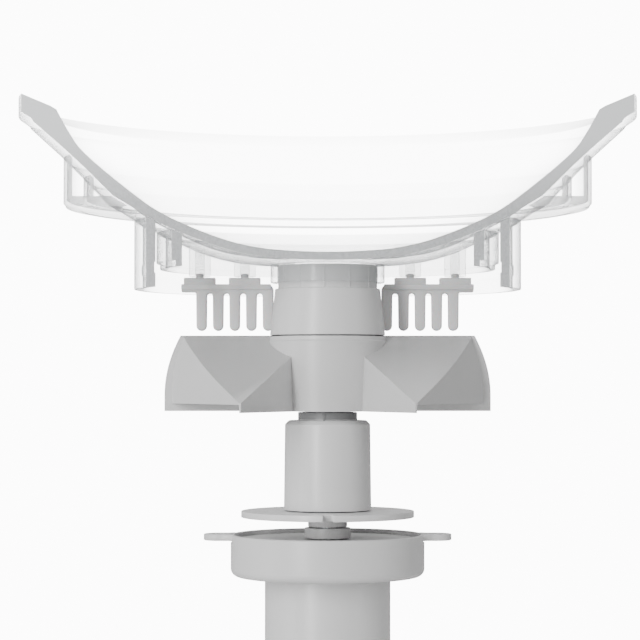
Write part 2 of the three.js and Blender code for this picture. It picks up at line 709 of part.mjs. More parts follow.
// The bowl and everything above it, let down by a gap so that pieces below can be trimmed to it.
function trimTool() {
  const underside = [...outsideLine.toReversed(), ...RIM_UNDERSIDE.toReversed()];
  const profile = [[0, BOWL.floorBottom], ...underside, [95, ABOVE], [0, ABOVE]];
  return revolve(profile, BOWL.facets).translate([0, 0, -GAP - 0.05]);
}

const frontCut = () => box([-110, 110], [-110, CUT_Y], [120, 230]);

function hopperBowl() {
  const inside = [[0, BOWL.floorTop], ...insideLine, ...RIM_TOP];
  const outside = [...RIM_UNDERSIDE, ...outsideLine.slice(1), [0, BOWL.floorBottom]];
  const wall = revolve([...inside, ...outside], BOWL.facets);
  const posts = [];
  const bores = [];
  [-1, 1].forEach((side) => {
    POST.places.forEach((place) => {
      const centre = [side * place, COMB.depth, 0];
      const bore = disc(POST.bore, POST.bottom - 1, COMB_Z.pegTop + 0.5, SMALL);
      posts.push(disc(POST.radius, POST.bottom, BOWL.floorTop + 8, SMALL).translate(centre));
      bores.push(bore.translate(centre));
    });
  });
  const boss = disc(CENTRE_BOSS.radius, CENTRE_BOSS.bottom, BOWL.floorBottom + 1);
  const { inner, outer, angle } = OUTLET;
  const outlet = sector(inner, outer, 90, angle, BOWL.floorBottom - 1, BOWL.floorTop + 10);
  const supports = joined(...posts, boss).subtract(bowlSpace());
  return without(joined(wall, supports), ...bores, outlet, frontCut());
}

// Stiffening box under the bowl: two thin upright rings on a flat ledge, and a short cone below.
function hopperSkirt() {
  const { outer, inner, wall, ledgeBottom, ledgeTop, seam } = SKIRT;
  const top = 186;
  const chamberInner = CHAMBER.radius - CHAMBER.wall;
  const ledge = revolve(
    [
      [chamberInner, seam],
      [CHAMBER.radius, seam],
      [CHAMBER.radius + 3, ledgeBottom],
      [outer - 5, ledgeBottom],
      [outer - 4.6, ledgeBottom + 0.5],
      [outer, ledgeBottom + 0.9],
      [outer, ledgeTop],
      [chamberInner, ledgeTop],
    ],
    BOWL.facets,
  );
  const rings = joined(
    tube(outer, outer - wall, ledgeTop - 1, top, BOWL.facets),
    tube(inner, inner - wall, ledgeTop - 1, top, BOWL.facets),
  );
  return without(joined(ledge, rings), trimTool(), frontCut());
}

// Upright wall of the dosing chamber, with a shallow groove round its inside.
function chamberWall() {
  const { radius, wall, bottom, top } = CHAMBER;
  const inner = radius - wall;
  const groove = [142, 145.4];
  const ring = revolve(
    [
      [inner, bottom],
      [radius, bottom],
      [radius, top],
      [inner, top],
      [inner, groove[1]],
      [inner + 0.3, groove[1] - 0.3],
      [inner + 0.3, groove[0] + 0.3],
      [inner, groove[0]],
    ],
    BOWL.facets,
  );
  return without(ring, trimTool(), frontCut());
}

function guideRing() {
  const { radius, wall, lipRadius, bottom, lipTop } = GUIDE;
  const inner = radius - wall;
  const ring = revolve(
    [
      [inner, bottom],
      [lipRadius, bottom],
      [lipRadius, lipTop],
      [radius, lipTop],
      [radius, 170],
      [inner, 170],
    ],
    BOWL.facets,
  );
  return without(ring, trimTool(), frontCut());
}

// ---------------------------------------------------------------- combs

// One tapered finger with a round tip, as an outline in X and Z.
function fingerShape(x) {
  const tipRadius = COMB.tipWidth / 2;
  const shape = new THREE.Shape();
  shape.moveTo(x - COMB.rootWidth / 2, COMB_Z.root + 0.5);
  shape.lineTo(x - tipRadius, COMB_Z.tip + tipRadius);
  shape.absarc(x, COMB_Z.tip + tipRadius, tipRadius, Math.PI, 2 * Math.PI, false);
  shape.lineTo(x + COMB.rootWidth / 2, COMB_Z.root + 0.5);
  shape.closePath();
  return shape;
}

// Five soft fingers on a thin strip, on the side given by -1 or 1.
function combFingers(side) {
  const half = COMB_BAR.fingerThickness / 2;
  const { inner, outer } = COMB_BAR;
  const strip = box([inner, outer], [-half, half], [COMB_Z.root, COMB_Z.hinge - GAP / 2]);
  const fingers = Array.from({ length: COMB.fingers }, (_, i) =>
    upright(fingerShape(COMB.innerFinger + i * COMB.pitch), 0, COMB_BAR.fingerThickness, 4),
  );
  const comb = joined(strip, ...fingers);
  return side > 0 ? comb : comb.rotate([0, 0, 180]);
}

// The part of the comb that stays put: a bar, two pads and a peg up into each hollow post.
function combBar(side) {
  const half = COMB_BAR.thickness / 2;
  const bar = box([COMB_BAR.inner, COMB_BAR.outer], [-half, half], [COMB_Z.hinge + GAP / 2, COMB_Z.barTop]);
  const feet = POST.places.map((place) => {
    const pad = box(
      [place - POST.padWidth / 2, place + POST.padWidth / 2],
      [-half, half],
      [COMB_Z.barTop - 0.5, COMB_Z.padTop],
    );
    const peg = disc(POST.bore - GAP, COMB_Z.padTop - 0.5, COMB_Z.pegTop, SMALL).translate([place, 0, 0]);
    return joined(pad, peg);
  });
  const comb = joined(bar, ...feet);
  return side > 0 ? comb : comb.rotate([0, 0, 180]);
}

function buildHopper() {
  const collar = tube(COLLAR.radius, COLLAR.bore, COLLAR.bottom, COLLAR.top, ROUND);
  place(hopperUnit, "hopper_bowl", hopperBowl(), CLEAR_PLASTIC);
  place(hopperUnit, "hopper_skirt", hopperSkirt(), CLEAR_PLASTIC);
  place(hopperUnit, "chamber_wall", chamberWall(), CLEAR_PLASTIC);
  place(hopperUnit, "guide_ring", guideRing(), CLEAR_PLASTIC);
  place(hopperUnit, "hopper_collar", collar, CLEAR_PLASTIC);
  [["left", -1], ["right", 1]].forEach(([word, side]) => {
    place(hopperUnit, `comb_bar_${word}`, combBar(side), SILICONE, 0, COMB.depth);
    place(hopperUnit, `comb_fingers_${word}`, combFingers(side), SILICONE, 0, COMB.depth);
  });
}

buildMotorUnit();
buildGearbox();
buildGearTrain();
buildDriveLine();
buildRotor();
buildHopper();

export default assembly;
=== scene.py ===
import json
import math

import bmesh
import bpy
from mathutils import Matrix, Vector


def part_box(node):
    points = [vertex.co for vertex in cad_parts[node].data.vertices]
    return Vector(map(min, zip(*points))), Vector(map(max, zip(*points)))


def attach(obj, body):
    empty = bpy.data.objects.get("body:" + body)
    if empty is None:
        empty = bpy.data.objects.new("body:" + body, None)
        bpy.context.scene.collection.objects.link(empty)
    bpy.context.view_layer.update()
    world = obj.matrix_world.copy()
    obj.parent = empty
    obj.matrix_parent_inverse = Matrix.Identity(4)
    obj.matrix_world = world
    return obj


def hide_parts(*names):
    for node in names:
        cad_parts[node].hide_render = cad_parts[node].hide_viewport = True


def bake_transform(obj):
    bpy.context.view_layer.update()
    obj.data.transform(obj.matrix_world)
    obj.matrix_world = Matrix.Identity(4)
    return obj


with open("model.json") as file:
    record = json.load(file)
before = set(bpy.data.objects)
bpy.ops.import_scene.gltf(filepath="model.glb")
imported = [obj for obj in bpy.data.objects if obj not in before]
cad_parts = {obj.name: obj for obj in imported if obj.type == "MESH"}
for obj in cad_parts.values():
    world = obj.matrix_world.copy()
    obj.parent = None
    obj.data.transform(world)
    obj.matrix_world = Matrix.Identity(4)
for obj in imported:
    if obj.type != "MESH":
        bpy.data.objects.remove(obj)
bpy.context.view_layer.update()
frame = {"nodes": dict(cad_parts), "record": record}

bl_info = {
    "name": "Pet Feeder Dispensing Unit",
    "version": (1, 0, 0),
    "blender": (4, 5, 0),
    "location": "View3D > Sidebar > Feeder",
    "description": "Hopper, combs, rotor and gearmotor of an automatic pet feeder, cut open at the front",
    "category": "Object",
}

# All sizes below are in millimetres, and meshes are scaled to metres as they are made.
MM = 0.001
FINE = 192  # facets round a turned piece whose outline shows closely
ROUND = 144  # facets round a large turned piece
MEDIUM = 64  # facets round a medium turned piece
SMALL = 32  # facets round a pin or a screw


# ---------------------------------------------------------------- reading the frame


def low(node, axis):
    """A CAD node's lowest coordinate along X, Y or Z (0, 1 or 2), in millimetres."""
    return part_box(node)[0][axis] / MM


def high(node, axis):
    """A CAD node's highest coordinate along X, Y or Z (0, 1 or 2), in millimetres."""
    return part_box(node)[1][axis] / MM


# ---------------------------------------------------------------- mesh helpers


def object_from(name, bm):
    """A new object at the origin that holds the built mesh, scaled to metres."""
    bmesh.ops.scale(bm, vec=(MM, MM, MM), verts=bm.verts)
    mesh = bpy.data.meshes.new(name)
    bm.to_mesh(mesh)
    bm.free()
    made = bpy.data.objects.new(name, mesh)
    bpy.context.scene.collection.objects.link(made)
    return made


def filleted(profile, radius, steps=3):
    """The closed profile with each corner off the axis rounded by about the given radius."""
    rounded = []
    count = len(profile)
    for i, corner in enumerate(profile):
        here = Vector(corner)
        before = Vector(profile[i - 1]) - here
        after = Vector(profile[(i + 1) % count]) - here
        turn = before.angle(after) if before.length and after.length else math.pi
        if here.x < 1e-6 or turn > math.radians(160):
            rounded.append(corner)
            continue
        reach = min(radius, before.length * 0.45, after.length * 0.45)
        start = here + before.normalized() * reach
        end = here + after.normalized() * reach
        for step in range(steps + 1):
            t = step / steps
            point = start * (1 - t) ** 2 + here * 2 * t * (1 - t) + end * t**2
            rounded.append((point.x, point.y))
    return rounded


def area_of(profile):
    """Signed area of a closed outline, above zero when it runs anticlockwise."""
    pairs = zip(profile, profile[1:] + profile[:1])
    return sum(a[0] * b[1] - b[0] * a[1] for a, b in pairs) / 2


def turned(name, profile, facets=ROUND, fillet=0.0):
    """A closed solid: a closed (radius, height) profile turned round +Z, faces outwards."""
    if fillet:
        profile = filleted(profile, fillet)
    if area_of(profile) < 0:
        profile = profile[::-1]
    bm = bmesh.new()
    rings = []
    for radius, height in profile:
        if radius < 1e-6:
            rings.append([bm.verts.new((0, 0, height))] * facets)
            continue
        ring = []
        for i in range(facets):
            angle = 2 * math.pi * i / facets
            ring.append(bm.verts.new((radius * math.cos(angle), radius * math.sin(angle), height)))
        rings.append(ring)
    for lower, upper in zip(rings, rings[1:] + rings[:1]):
        for i in range(facets):
            j = (i + 1) % facets
            corners = list(dict.fromkeys([lower[i], lower[j], upper[j], upper[i]]))
            if len(corners) > 2:
                bm.faces.new(corners)
    return object_from(name, bm)


def disc(name, radius, bottom, top, facets=MEDIUM, at=(0, 0)):
    """An upright closed cylinder, used as a boss or as a cutting tool."""
    made = turned(name, [(0, bottom), (radius, bottom), (radius, top), (0, top)], facets)
    made.data.transform(Matrix.Translation((at[0] * MM, at[1] * MM, 0)))
    return made


def prism(name, outline, bottom, top):
    """A closed flat outline in X and Y, raised from bottom to top."""
    if area_of(outline) < 0:
        outline = outline[::-1]
    bm = bmesh.new()
    lower = [bm.verts.new((x, y, bottom)) for x, y in outline]
    upper = [bm.verts.new((x, y, top)) for x, y in outline]
    bm.faces.new(lower[::-1])
    bm.faces.new(upper)
    for i in range(len(outline)):
        j = (i + 1) % len(outline)
        bm.faces.new((lower[i], lower[j], upper[j], upper[i]))
    return object_from(name, bm)


def slab(name, lows, highs):
    """A closed box between two corners."""
    outline = [(lows[0], lows[1]), (highs[0], lows[1]), (highs[0], highs[1]), (lows[0], highs[1])]
    return prism(name, outline, lows[2], highs[2])


def arc(centre, radius, start, end, steps):
    """Points along an arc, with its angles in degrees."""
    points = []
    for i in range(steps + 1):
        angle = math.radians(start + (end - start) * i / steps)
        points.append((centre[0] + radius * math.cos(angle), centre[1] + radius * math.sin(angle)))
    return points


def settle(obj):
    """Replaces the object's mesh by what its modifiers make of it."""
    depsgraph = bpy.context.evaluated_depsgraph_get()
    mesh = bpy.data.meshes.new_from_object(obj.evaluated_get(depsgraph))
    old = obj.data
    obj.modifiers.clear()
    obj.data = mesh
    bpy.data.meshes.remove(old)
    return obj


def combined(operation, target, tools):
    """Joins, cuts or intersects the target with each tool, and uses the tools up."""
    for tool in tools:
        modifier = target.modifiers.new("combine", "BOOLEAN")
        modifier.operation = operation
        modifier.solver = "EXACT"
        modifier.object = tool
        settle(target)
        mesh = tool.data
        bpy.data.objects.remove(tool)
        bpy.data.meshes.remove(mesh)
    return target


def joined(target, *tools):
    return combined("UNION", target, tools)


def without(target, *tools):
    return combined("DIFFERENCE", target, tools)


def common(target, *tools):
    return combined("INTERSECT", target, tools)


def turn_z(obj, degrees):
    """Turns the mesh about the rotor's axis, so that its object stays at the origin."""
    obj.data.transform(Matrix.Rotation(math.radians(degrees), 4, "Z"))
    return obj


def softened(obj, width, angle=38, segments=2):
    """Rounds the piece's edges by a bevel, as a mould's edges are."""
    modifier = obj.modifiers.new("soften", "BEVEL")
    modifier.width = width * MM
    modifier.segments = segments
    modifier.limit_method = "ANGLE"
    modifier.angle_limit = math.radians(angle)
    modifier.use_clamp_overlap = True
    return settle(obj)


def clean(obj, distance=0.002):
    """Merges doubled vertices and drops slivers that cutting has left."""
    bm = bmesh.new()
    bm.from_mesh(obj.data)
    bmesh.ops.remove_doubles(bm, verts=bm.verts, dist=distance * MM)
    bmesh.ops.dissolve_degenerate(bm, dist=distance * MM, edges=bm.edges)
    bm.to_mesh(obj.data)
    bm.free()
    return obj


def smooth(obj, angle=32):
    """Smooth shading with sharp edges where two faces meet at more than the angle."""
    obj.data.shade_smooth()
    obj.data.set_sharp_from_angle(angle=math.radians(angle))
    return obj


def mark(obj, index, holds):
    """Gives the faces whose centre, in millimetres, passes the test the material of that index."""
    for face in obj.data.polygons:
        if face.material_index == 0 and holds(face.center / MM):
            face.material_index = index


def ready(obj, body, nodes, slot, *materials):
    """Gives a finished piece its materials and its body, and hides the CAD nodes that it stands for."""
    finish_of_face = [face.material_index for face in obj.data.polygons]
    obj.data.materials.clear()
    for material in materials:
        obj.data.materials.append(material)
    obj.data.polygons.foreach_set("material_index", finish_of_face)
    if nodes:
        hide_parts(*nodes)
    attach(obj, body)
    return obj


def paint(node, material):
    """Gives a CAD node that is shown as it is its material."""
    data = frame["nodes"][node].data
    data.materials.clear()
    data.materials.append(material)


# ---------------------------------------------------------------- material helpers


def linear(hex_colour):
    """An sRGB hex colour as linear RGBA."""
    channels = [int(hex_colour[i : i + 2], 16) / 255 for i in (1, 3, 5)]
    turned_linear = [c / 12.92 if c <= 0.04045 else ((c + 0.055) / 1.055) ** 2.4 for c in channels]
    return (*turned_linear, 1.0)


def add(tree, kind, inputs=None, **settings):
    """Adds one node with its settings, and links or sets its inputs."""
    made = tree.nodes.new(kind)
    for key, value in settings.items():
        setattr(made, key, value)
    for socket, value in (inputs or {}).items():
        if isinstance(value, bpy.types.NodeSocket):
            tree.links.new(value, made.inputs[socket])
        else:
            made.inputs[socket].default_value = value
    return made


def new_material(name):
    """An empty node material with its output, and its pattern coordinates in millimetres."""
    material = bpy.data.materials.new(name)
    material.use_nodes = True
    tree = material.node_tree
    tree.nodes.clear()
    output = add(tree, "ShaderNodeOutputMaterial")
    place = add(tree, "ShaderNodeTexCoord")
    to_mm = (1 / MM, 1 / MM, 1 / MM)
    scaled = add(tree, "ShaderNodeMapping", {"Vector": place.outputs["Object"], "Scale": to_mm})
    return material, tree, output, scaled.outputs["Vector"]


def relief_of(tree, noise, strength, depth):
    """A shallow bump from a noise, with its depth in millimetres."""
    return add(
        tree,
        "ShaderNodeBump",
        {"Height": noise.outputs["Fac"], "Strength": strength, "Distance": depth * MM},
    )


def moulded(name, colour, roughness, grain=0.35, depth=0.02, **extra):
    """Injection moulded plastic: satin, with a fine spark-eroded grain and faint flow marks."""
    material, tree, output, place = new_material(name)
    cloud = add(tree, "ShaderNodeTexNoise", {"Vector": place, "Scale": 0.05, "Detail": 3.0})
    shade = add(
        tree,
        "ShaderNodeMix",
        {0: cloud.outputs["Fac"], 6: [c * 0.955 for c in colour[:3]] + [1], 7: colour},
        data_type="RGBA",
    )
    pits = {"Vector": place, "Scale": 1 / grain, "Detail": 4.0, "Roughness": 0.6}
    fine = add(tree, "ShaderNodeTexNoise", pits)
    rough = add(
        tree,
        "ShaderNodeMapRange",
        {"Value": fine.outputs["Fac"], "To Min": roughness - 0.05, "To Max": roughness + 0.07},
    )
    bump = relief_of(tree, fine, 0.25, depth)
    shader = add(
        tree,
        "ShaderNodeBsdfPrincipled",
        {
            "Base Color": shade.outputs[2],
            "Roughness": rough.outputs["Result"],
            "Normal": bump.outputs["Normal"],
            "IOR": 1.53,
            **extra,
        },
    )
    tree.links.new(shader.outputs[0], output.inputs["Surface"])
    return material


def clear_plastic(name, colour, face_on, edge_on):
    """Clear moulded plastic: seen through face on, and milky grey where the eye looks along a wall."""
    material, tree, output, place = new_material(name)
    wave = add(tree, "ShaderNodeTexNoise", {"Vector": place, "Scale": 0.05, "Detail": 2.0})
    rough = add(tree, "ShaderNodeMapRange", {"Value": wave.outputs["Fac"], "To Min": 0.06, "To Max": 0.2})
    bump = relief_of(tree, wave, 0.15, 0.3)
    facing = add(tree, "ShaderNodeLayerWeight", {"Blend": 0.35})
    alpha = add(
        tree,
        "ShaderNodeMapRange",
        {"Value": facing.outputs["Facing"], "From Min": 0.4, "To Min": face_on, "To Max": edge_on},
        interpolation_type="SMOOTHSTEP",
    )
    shader = add(
        tree,
        "ShaderNodeBsdfPrincipled",
        {
            "Base Color": colour,
            "Roughness": rough.outputs["Result"],
            "Normal": bump.outputs["Normal"],
            "Alpha": alpha.outputs["Result"],
            "IOR": 1.49,
        },
    )
    tree.links.new(shader.outputs[0], output.inputs["Surface"])
    return material


def cut_face(name, colour, lit_rim_colour, solid=1.0):
    """The polished section of the clear plastic: grey with pale streaks, and paler up in the thick rim as
    painted light for the light that comes through the rim.
    """
    material, tree, output, place = new_material(name)
    split = add(tree, "ShaderNodeSeparateXYZ", {"Vector": place})
    # painted light: from 158 to 182 mm high the section turns paler towards the rim, in place of light
    # through the thick clear rim
    height = add(
        tree,
        "ShaderNodeMapRange",
        {"Value": split.outputs["Z"], "From Min": 158.0, "From Max": 182.0},
    )
    drawn = add(tree, "ShaderNodeMapping", {"Vector": place, "Scale": (0.25, 0.25, 0.25)})
    drift = {"Vector": drawn.outputs[0], "Detail": 2.0, "Distortion": 1.5}
    streaks = add(tree, "ShaderNodeTexNoise", drift)
    shade = add(tree, "ShaderNodeMix", {0: height.outputs[0], 6: colour, 7: lit_rim_colour}, data_type="RGBA")
    streaked = add(
        tree,
        "ShaderNodeMapRange",
        {"Value": streaks.outputs["Fac"], "From Min": 0.35, "From Max": 0.65, "To Min": 0.0, "To Max": 0.35},
    )
    blend = {0: streaked.outputs[0], 6: shade.outputs[2], 7: lit_rim_colour}
    milky = add(tree, "ShaderNodeMix", blend, data_type="RGBA")
    rough = add(
        tree,
        "ShaderNodeMapRange",
        {"Value": streaks.outputs["Fac"], "To Min": 0.25, "To Max": 0.45},
    )
    bump = relief_of(tree, streaks, 0.2, 0.1)
    shader = add(
        tree,
        "ShaderNodeBsdfPrincipled",
        {
            "Base Color": milky.outputs[2],
            "Roughness": rough.outputs["Result"],
            "Normal": bump.outputs["Normal"],
            "Alpha": solid,
            "IOR": 1.49,
        },
    )
    tree.links.new(shader.outputs[0], output.inputs["Surface"])
    return material


def metal(name, colour, roughness, grain=0.3, stretch=(1, 1, 1)):
    """Machined or rolled metal, with fine tool marks that vary its roughness."""
    material, tree, output, place = new_material(name)
    along = add(tree, "ShaderNodeMapping", {"Vector": place, "Scale": stretch})
    marks = add(tree, "ShaderNodeTexNoise", {"Vector": along.outputs[0], "Scale": 1 / grain, "Detail": 3.0})
    rough = add(
        tree,
        "ShaderNodeMapRange",
        {"Value": marks.outputs["Fac"], "To Min": roughness * 0.75, "To Max": roughness * 1.3},
    )
    bump = relief_of(tree, marks, 0.2, 0.01)
    shader = add(
        tree,
        "ShaderNodeBsdfPrincipled",
        {
            "Base Color": colour,
            "Metallic": 1.0,
            "Roughness": rough.outputs["Result"],
            "Normal": bump.outputs["Normal"],
        },
    )
    tree.links.new(shader.outputs[0], output.inputs["Surface"])
    return material


# ---------------------------------------------------------------- sizes and colours for the sidebar


def size_property(name, default, description):
    return bpy.props.FloatProperty(
        name=name,
        default=default * MM,
        description=description,
        unit="LENGTH",
        subtype="DISTANCE",
        precision=5,
    )


def colour_property(name, default, description):
    return bpy.props.FloatVectorProperty(
        name=name,
        default=linear(default),
        description=description,
        subtype="COLOR",
        size=4,
        min=0.0,
        max=1.0,
    )


class FeederSizes(bpy.types.PropertyGroup):
    """Sizes of the fine shape, which the frame doesn't fix."""

    lip: size_property("Wing lip", 0.55, "Thickness of the rotor wings' roof and walls at their free edges")
    inset: size_property("Gable inset", 1.9, "How far the wings' end panels lie inside their sweep")
    rib_width: size_property("Spigot rib", 0.45, "Width of the ribs on the rotor's spigot")
    finger: size_property("Finger thickness", 2.8, "Thickness of the comb's fingers from front to back")


class FeederColours(bpy.types.PropertyGroup):
    """Colours of the finishes."""

    housing: colour_property("Housing", "#CDCDCD", "Satin ABS of the rotor, gearbox, motor can and foot")
    sleeve: colour_property("Sleeve", "#D6D6D6", "Satin ABS of the rotor cap, sleeve and disc")
    comb: colour_property("Comb", "#D6D6D6", "Silicone of the comb")
    clear: colour_property("Clear plastic", "#C6CACC", "Clear copolyester of the hopper")
    section: colour_property("Section", "#AEB0B2", "Polished section of the hopper")
    # painted light: this pale tone on the rim's section stands in for light through the hopper's thick clear
    # rim
    section_rim_painted_light: colour_property("Section at the rim", "#E4E6E7", "Section of the hopper's thick rim")
    floor: colour_property("Floor", "#FFFFFF", "Studio floor")


def sizes():
    return bpy.context.scene.feeder_sizes


def colours():
    return bpy.context.scene.feeder_colours


FINISHES = {
    "clear_plastic": ("clear_copolyester", lambda name: clear_plastic(name, colours().clear, 0.05, 0.8)),
    "hazy_plastic": ("hazy_copolyester", lambda name: clear_plastic(name, colours().clear, 0.18, 0.9)),
    "cut": ("polished_section", lambda name: cut_face(name, colours().section, colours().section_rim_painted_light)),
    "thin_cut": ("thin_section", lambda name: cut_face(name, colours().section, colours().section_rim_painted_light, 0.6)),
    "grey_abs": ("satin_abs", lambda name: moulded(name, colours().housing, 0.34)),
    "pale_abs": ("pale_satin_abs", lambda name: moulded(name, colours().sleeve, 0.32)),
    # painted shade: this darker grey goes on the sleeve's neck in place of the shadow under the rotor
    "dark_abs": ("sleeve_neck_painted_shade", lambda name: moulded(name, linear("#8C8D8E"), 0.4)),
    "silicone": (
        "moulded_silicone",
        lambda name: moulded(
            name, colours().comb, 0.52, 0.5, 0.02, **{"Subsurface Weight": 0.15, "Subsurface Scale": 0.002}
        ),
    ),
    "acetal": ("moulded_acetal", lambda name: moulded(name, linear("#F0EFE8"), 0.3)),
    "black_plastic": ("black_nylon", lambda name: moulded(name, linear("#232527"), 0.5)),
    "circuit_board": ("solder_masked_glass_epoxy", lambda name: moulded(name, linear("#1E6A45"), 0.3, 0.8)),
    "rubber": ("foot_rubber", lambda name: moulded(name, linear("#3A3B3D"), 0.75, 0.4, 0.05)),
    "steel": ("zinc_plated_steel", lambda name: metal(name, linear("#C4C6C9"), 0.28)),
    "motor_steel": ("rolled_steel_case", lambda name: metal(name, linear("#B4B7BA"), 0.35, 0.6, (1, 1, 0.1))),
    "brass": ("turned_brass", lambda name: metal(name, linear("#CDAE62"), 0.3)),
}


def finish_of(key):
    """The finish for one of the record's slots, made once and then shared."""
    name, make = FINISHES[key]
    return bpy.data.materials.get(name) or make(name)


# ---------------------------------------------------------------- foot, motor can and gearbox

CAN_RADIUS = high("motor_can", 0)
GAP = 0.3  # between pieces that turn or slip past each other
COLLAR_RADIUS = 23.0
SHAFT_BORE = 2.8
BOSS_HOLE = 3.7  # round the motor's boss, through the can and the drum
CAN_TOP = high("motor_can", 2)
FOOT_RADIUS = high("motor_foot", 0)
FOOT_TOP = high("motor_foot", 2)
FOOT_PLATE_TOP = 6.0


def connector_window():
    """The cut for the board's connector at the back of the foot and the can."""
    side = high("board_connector", 0) + GAP
    return slab(
        "window",
        (-side, 14, low("board_connector", 2) - GAP),
        (side, FOOT_RADIUS, FOOT_TOP + 1.3),
    )


def make_foot():
    bottom = low("motor_foot", 2)
    bore = CAN_RADIUS + GAP
    profile = [
        (0, bottom),
        (FOOT_RADIUS, bottom),
        (FOOT_RADIUS, FOOT_PLATE_TOP - 1.5),
        (FOOT_RADIUS - 1.5, FOOT_PLATE_TOP),
        (COLLAR_RADIUS + 2, FOOT_PLATE_TOP),
        (COLLAR_RADIUS, FOOT_PLATE_TOP + 2),
        (COLLAR_RADIUS, FOOT_TOP),
        (bore, FOOT_TOP),
        (bore, FOOT_PLATE_TOP),
        (0, FOOT_PLATE_TOP),
    ]
    foot = turned("motor_foot_moulding", profile, fillet=0.7)
    foot = without(foot, connector_window())
    foot = smooth(softened(clean(foot), 0.2))
    ready(foot, "motor_unit", ["motor_foot"], "grey_abs", finish_of("grey_abs"))
    pad_radius, pad_top = high("foot_pad", 0), high("foot_pad", 2)
    profile = [(0, 0), (pad_radius, 0), (pad_radius, pad_top), (0, pad_top)]
    pad = smooth(turned("foot_pad_disc", profile, fillet=0.4))
    ready(pad, "motor_unit", ["foot_pad"], "rubber", finish_of("rubber"))


def make_can():
    bottom = low("motor_can", 2)
    inner = CAN_RADIUS - 2
    profile = [
        (inner, bottom),
        (CAN_RADIUS, bottom),
        (CAN_RADIUS, CAN_TOP),
        (BOSS_HOLE, CAN_TOP),
        (BOSS_HOLE, CAN_TOP - 1.8),
        (inner, CAN_TOP - 1.8),
    ]
    can = without(turned("motor_can_shell", profile, fillet=0.4), connector_window())
    smooth(clean(can))
    ready(can, "motor_unit", ["motor_can"], "grey_abs", finish_of("grey_abs"))


DRUM_RADIUS = high("gearbox_housing", 1)
DRUM_TOP = 64.9
DRUM_BOTTOM = low("gearbox_housing", 2)
DRUM_FLOOR_TOP = DRUM_BOTTOM + 2.2
EAR_WAIST = 28.1
EAR_SLOT_CENTRE = 32.8
EAR_SLOT_RADIUS = 1.6
EAR_SLOT_HALF = 0.5
EAR_RELIEF_HALF = 9.5
LID_SCREW_SPREAD = 23.8
LID_SCREW_SEAT = 53.7
LID_BOTTOM = low("gearbox_lid", 2)
LID_TOP = high("gearbox_lid", 2)


def lid_screw_places():
    """The four lid screws' places in X and Y."""
    reach = LID_SCREW_SPREAD * math.sqrt(0.5)
    return [(side * reach, end * reach) for side in (-1, 1) for end in (-1, 1)]


def ear_outline(side):
    """Outline of a mounting ear: a waist at the drum and a round end, on the side given by -1 or 1."""
    half = (high("gearbox_housing", 0) - EAR_WAIST) / 2
    centre = high("gearbox_housing", 0) - half
    drum = DRUM_RADIUS - 1.4
    outline = [(drum, -half - 1.6), (DRUM_RADIUS + 0.9, -half)]
    outline += arc((centre, 0), half, -90, 90, 24)
    outline += [(DRUM_RADIUS + 0.9, half), (drum, half + 1.6)]
    return [(side * x, y) for x, y in outline]


def ear_slot(side, bottom, top):
    """The cut for an ear's slot, which is a little longer than it is wide."""
    outline = arc((side * EAR_SLOT_CENTRE, EAR_SLOT_HALF), EAR_SLOT_RADIUS, 0, 180, 16)
    outline += arc((side * EAR_SLOT_CENTRE, -EAR_SLOT_HALF), EAR_SLOT_RADIUS, 180, 360, 16)
    return prism("slot", outline, bottom, top)


def make_drum():
    inner = DRUM_RADIUS - 1.2
    profile = [(BOSS_HOLE, DRUM_BOTTOM)]
    profile += arc((DRUM_RADIUS - 2.4, DRUM_BOTTOM + 2.4), 2.4, -90, 0, 10)
    profile += [
        (DRUM_RADIUS, DRUM_TOP - 0.3),
        (DRUM_RADIUS - 0.3, DRUM_TOP),
        (inner + 0.2, DRUM_TOP),
        (inner, DRUM_TOP - 0.2),
        (inner, DRUM_FLOOR_TOP),
        (BOSS_HOLE, DRUM_FLOOR_TOP),
    ]
    drum = turned("gearbox_drum", profile, FINE)
    ear_bottom, ear_top = high("gearbox_housing", 2) - 2.0, high("gearbox_housing", 2)
    for side in (-1, 1):
        ear = prism("ear", ear_outline(side), ear_bottom, ear_top)
        trim = disc("trim", inner, ear_bottom - 1, ear_top + 1, FINE)
        ear = without(ear, ear_slot(side, ear_bottom - 1, ear_top + 1), trim)
        ear = softened(clean(ear), 0.35)
        edges = sorted((side * (DRUM_RADIUS - 0.6), side * (DRUM_RADIUS + 1)))
        relief = slab(
            "relief",
            (edges[0], -EAR_RELIEF_HALF, ear_bottom - 0.7),
            (edges[1], EAR_RELIEF_HALF, ear_bottom),
        )
        drum = joined(without(drum, relief), ear)
    for at in lid_screw_places():
        drum = without(drum, disc("hole", 1.3, DRUM_BOTTOM - 1, DRUM_FLOOR_TOP + 1, SMALL, at))
        drum = without(drum, disc("recess", 2.3, DRUM_BOTTOM - 1, LID_SCREW_SEAT + 0.15, SMALL, at))
    smooth(clean(drum))
    ready(drum, "motor_unit", ["gearbox_housing"], "grey_abs", finish_of("grey_abs"))


def make_lid():
    bore, radius = 4.8, high("gearbox_lid", 0)
    profile = [(bore, LID_BOTTOM), (radius, LID_BOTTOM), (radius, LID_TOP), (bore, LID_TOP)]
    lid = turned("gearbox_cover", profile, fillet=0.25)
    foot, top = DRUM_FLOOR_TOP + GAP, LID_BOTTOM + 0.5
    posts = [disc("lid_post", 2.8, foot, top, SMALL, at) for at in lid_screw_places()]
    lid = smooth(clean(joined(lid, *posts)))
    ready(lid, "motor_unit", ["gearbox_lid"], "grey_abs", finish_of("grey_abs"))


def make_bush():
    """The stub that the shaft turns in, flanged over the lid."""
    top, neck = high("output_bush", 2), 4.5
    flange = high("output_bush", 0)
    profile = [
        (SHAFT_BORE, LID_BOTTOM + 0.1),
        (neck, LID_BOTTOM + 0.1),
        (neck, LID_TOP + GAP),
        (flange, LID_TOP + GAP),
        (flange, top),
        (SHAFT_BORE, top),
    ]
    bush = smooth(turned("output_bush_ring", profile, MEDIUM * 2, fillet=0.3))
    ready(bush, "motor_unit", ["output_bush"], "grey_abs", finish_of("grey_abs"))


# ---------------------------------------------------------------- fasteners, by Geometry Nodes


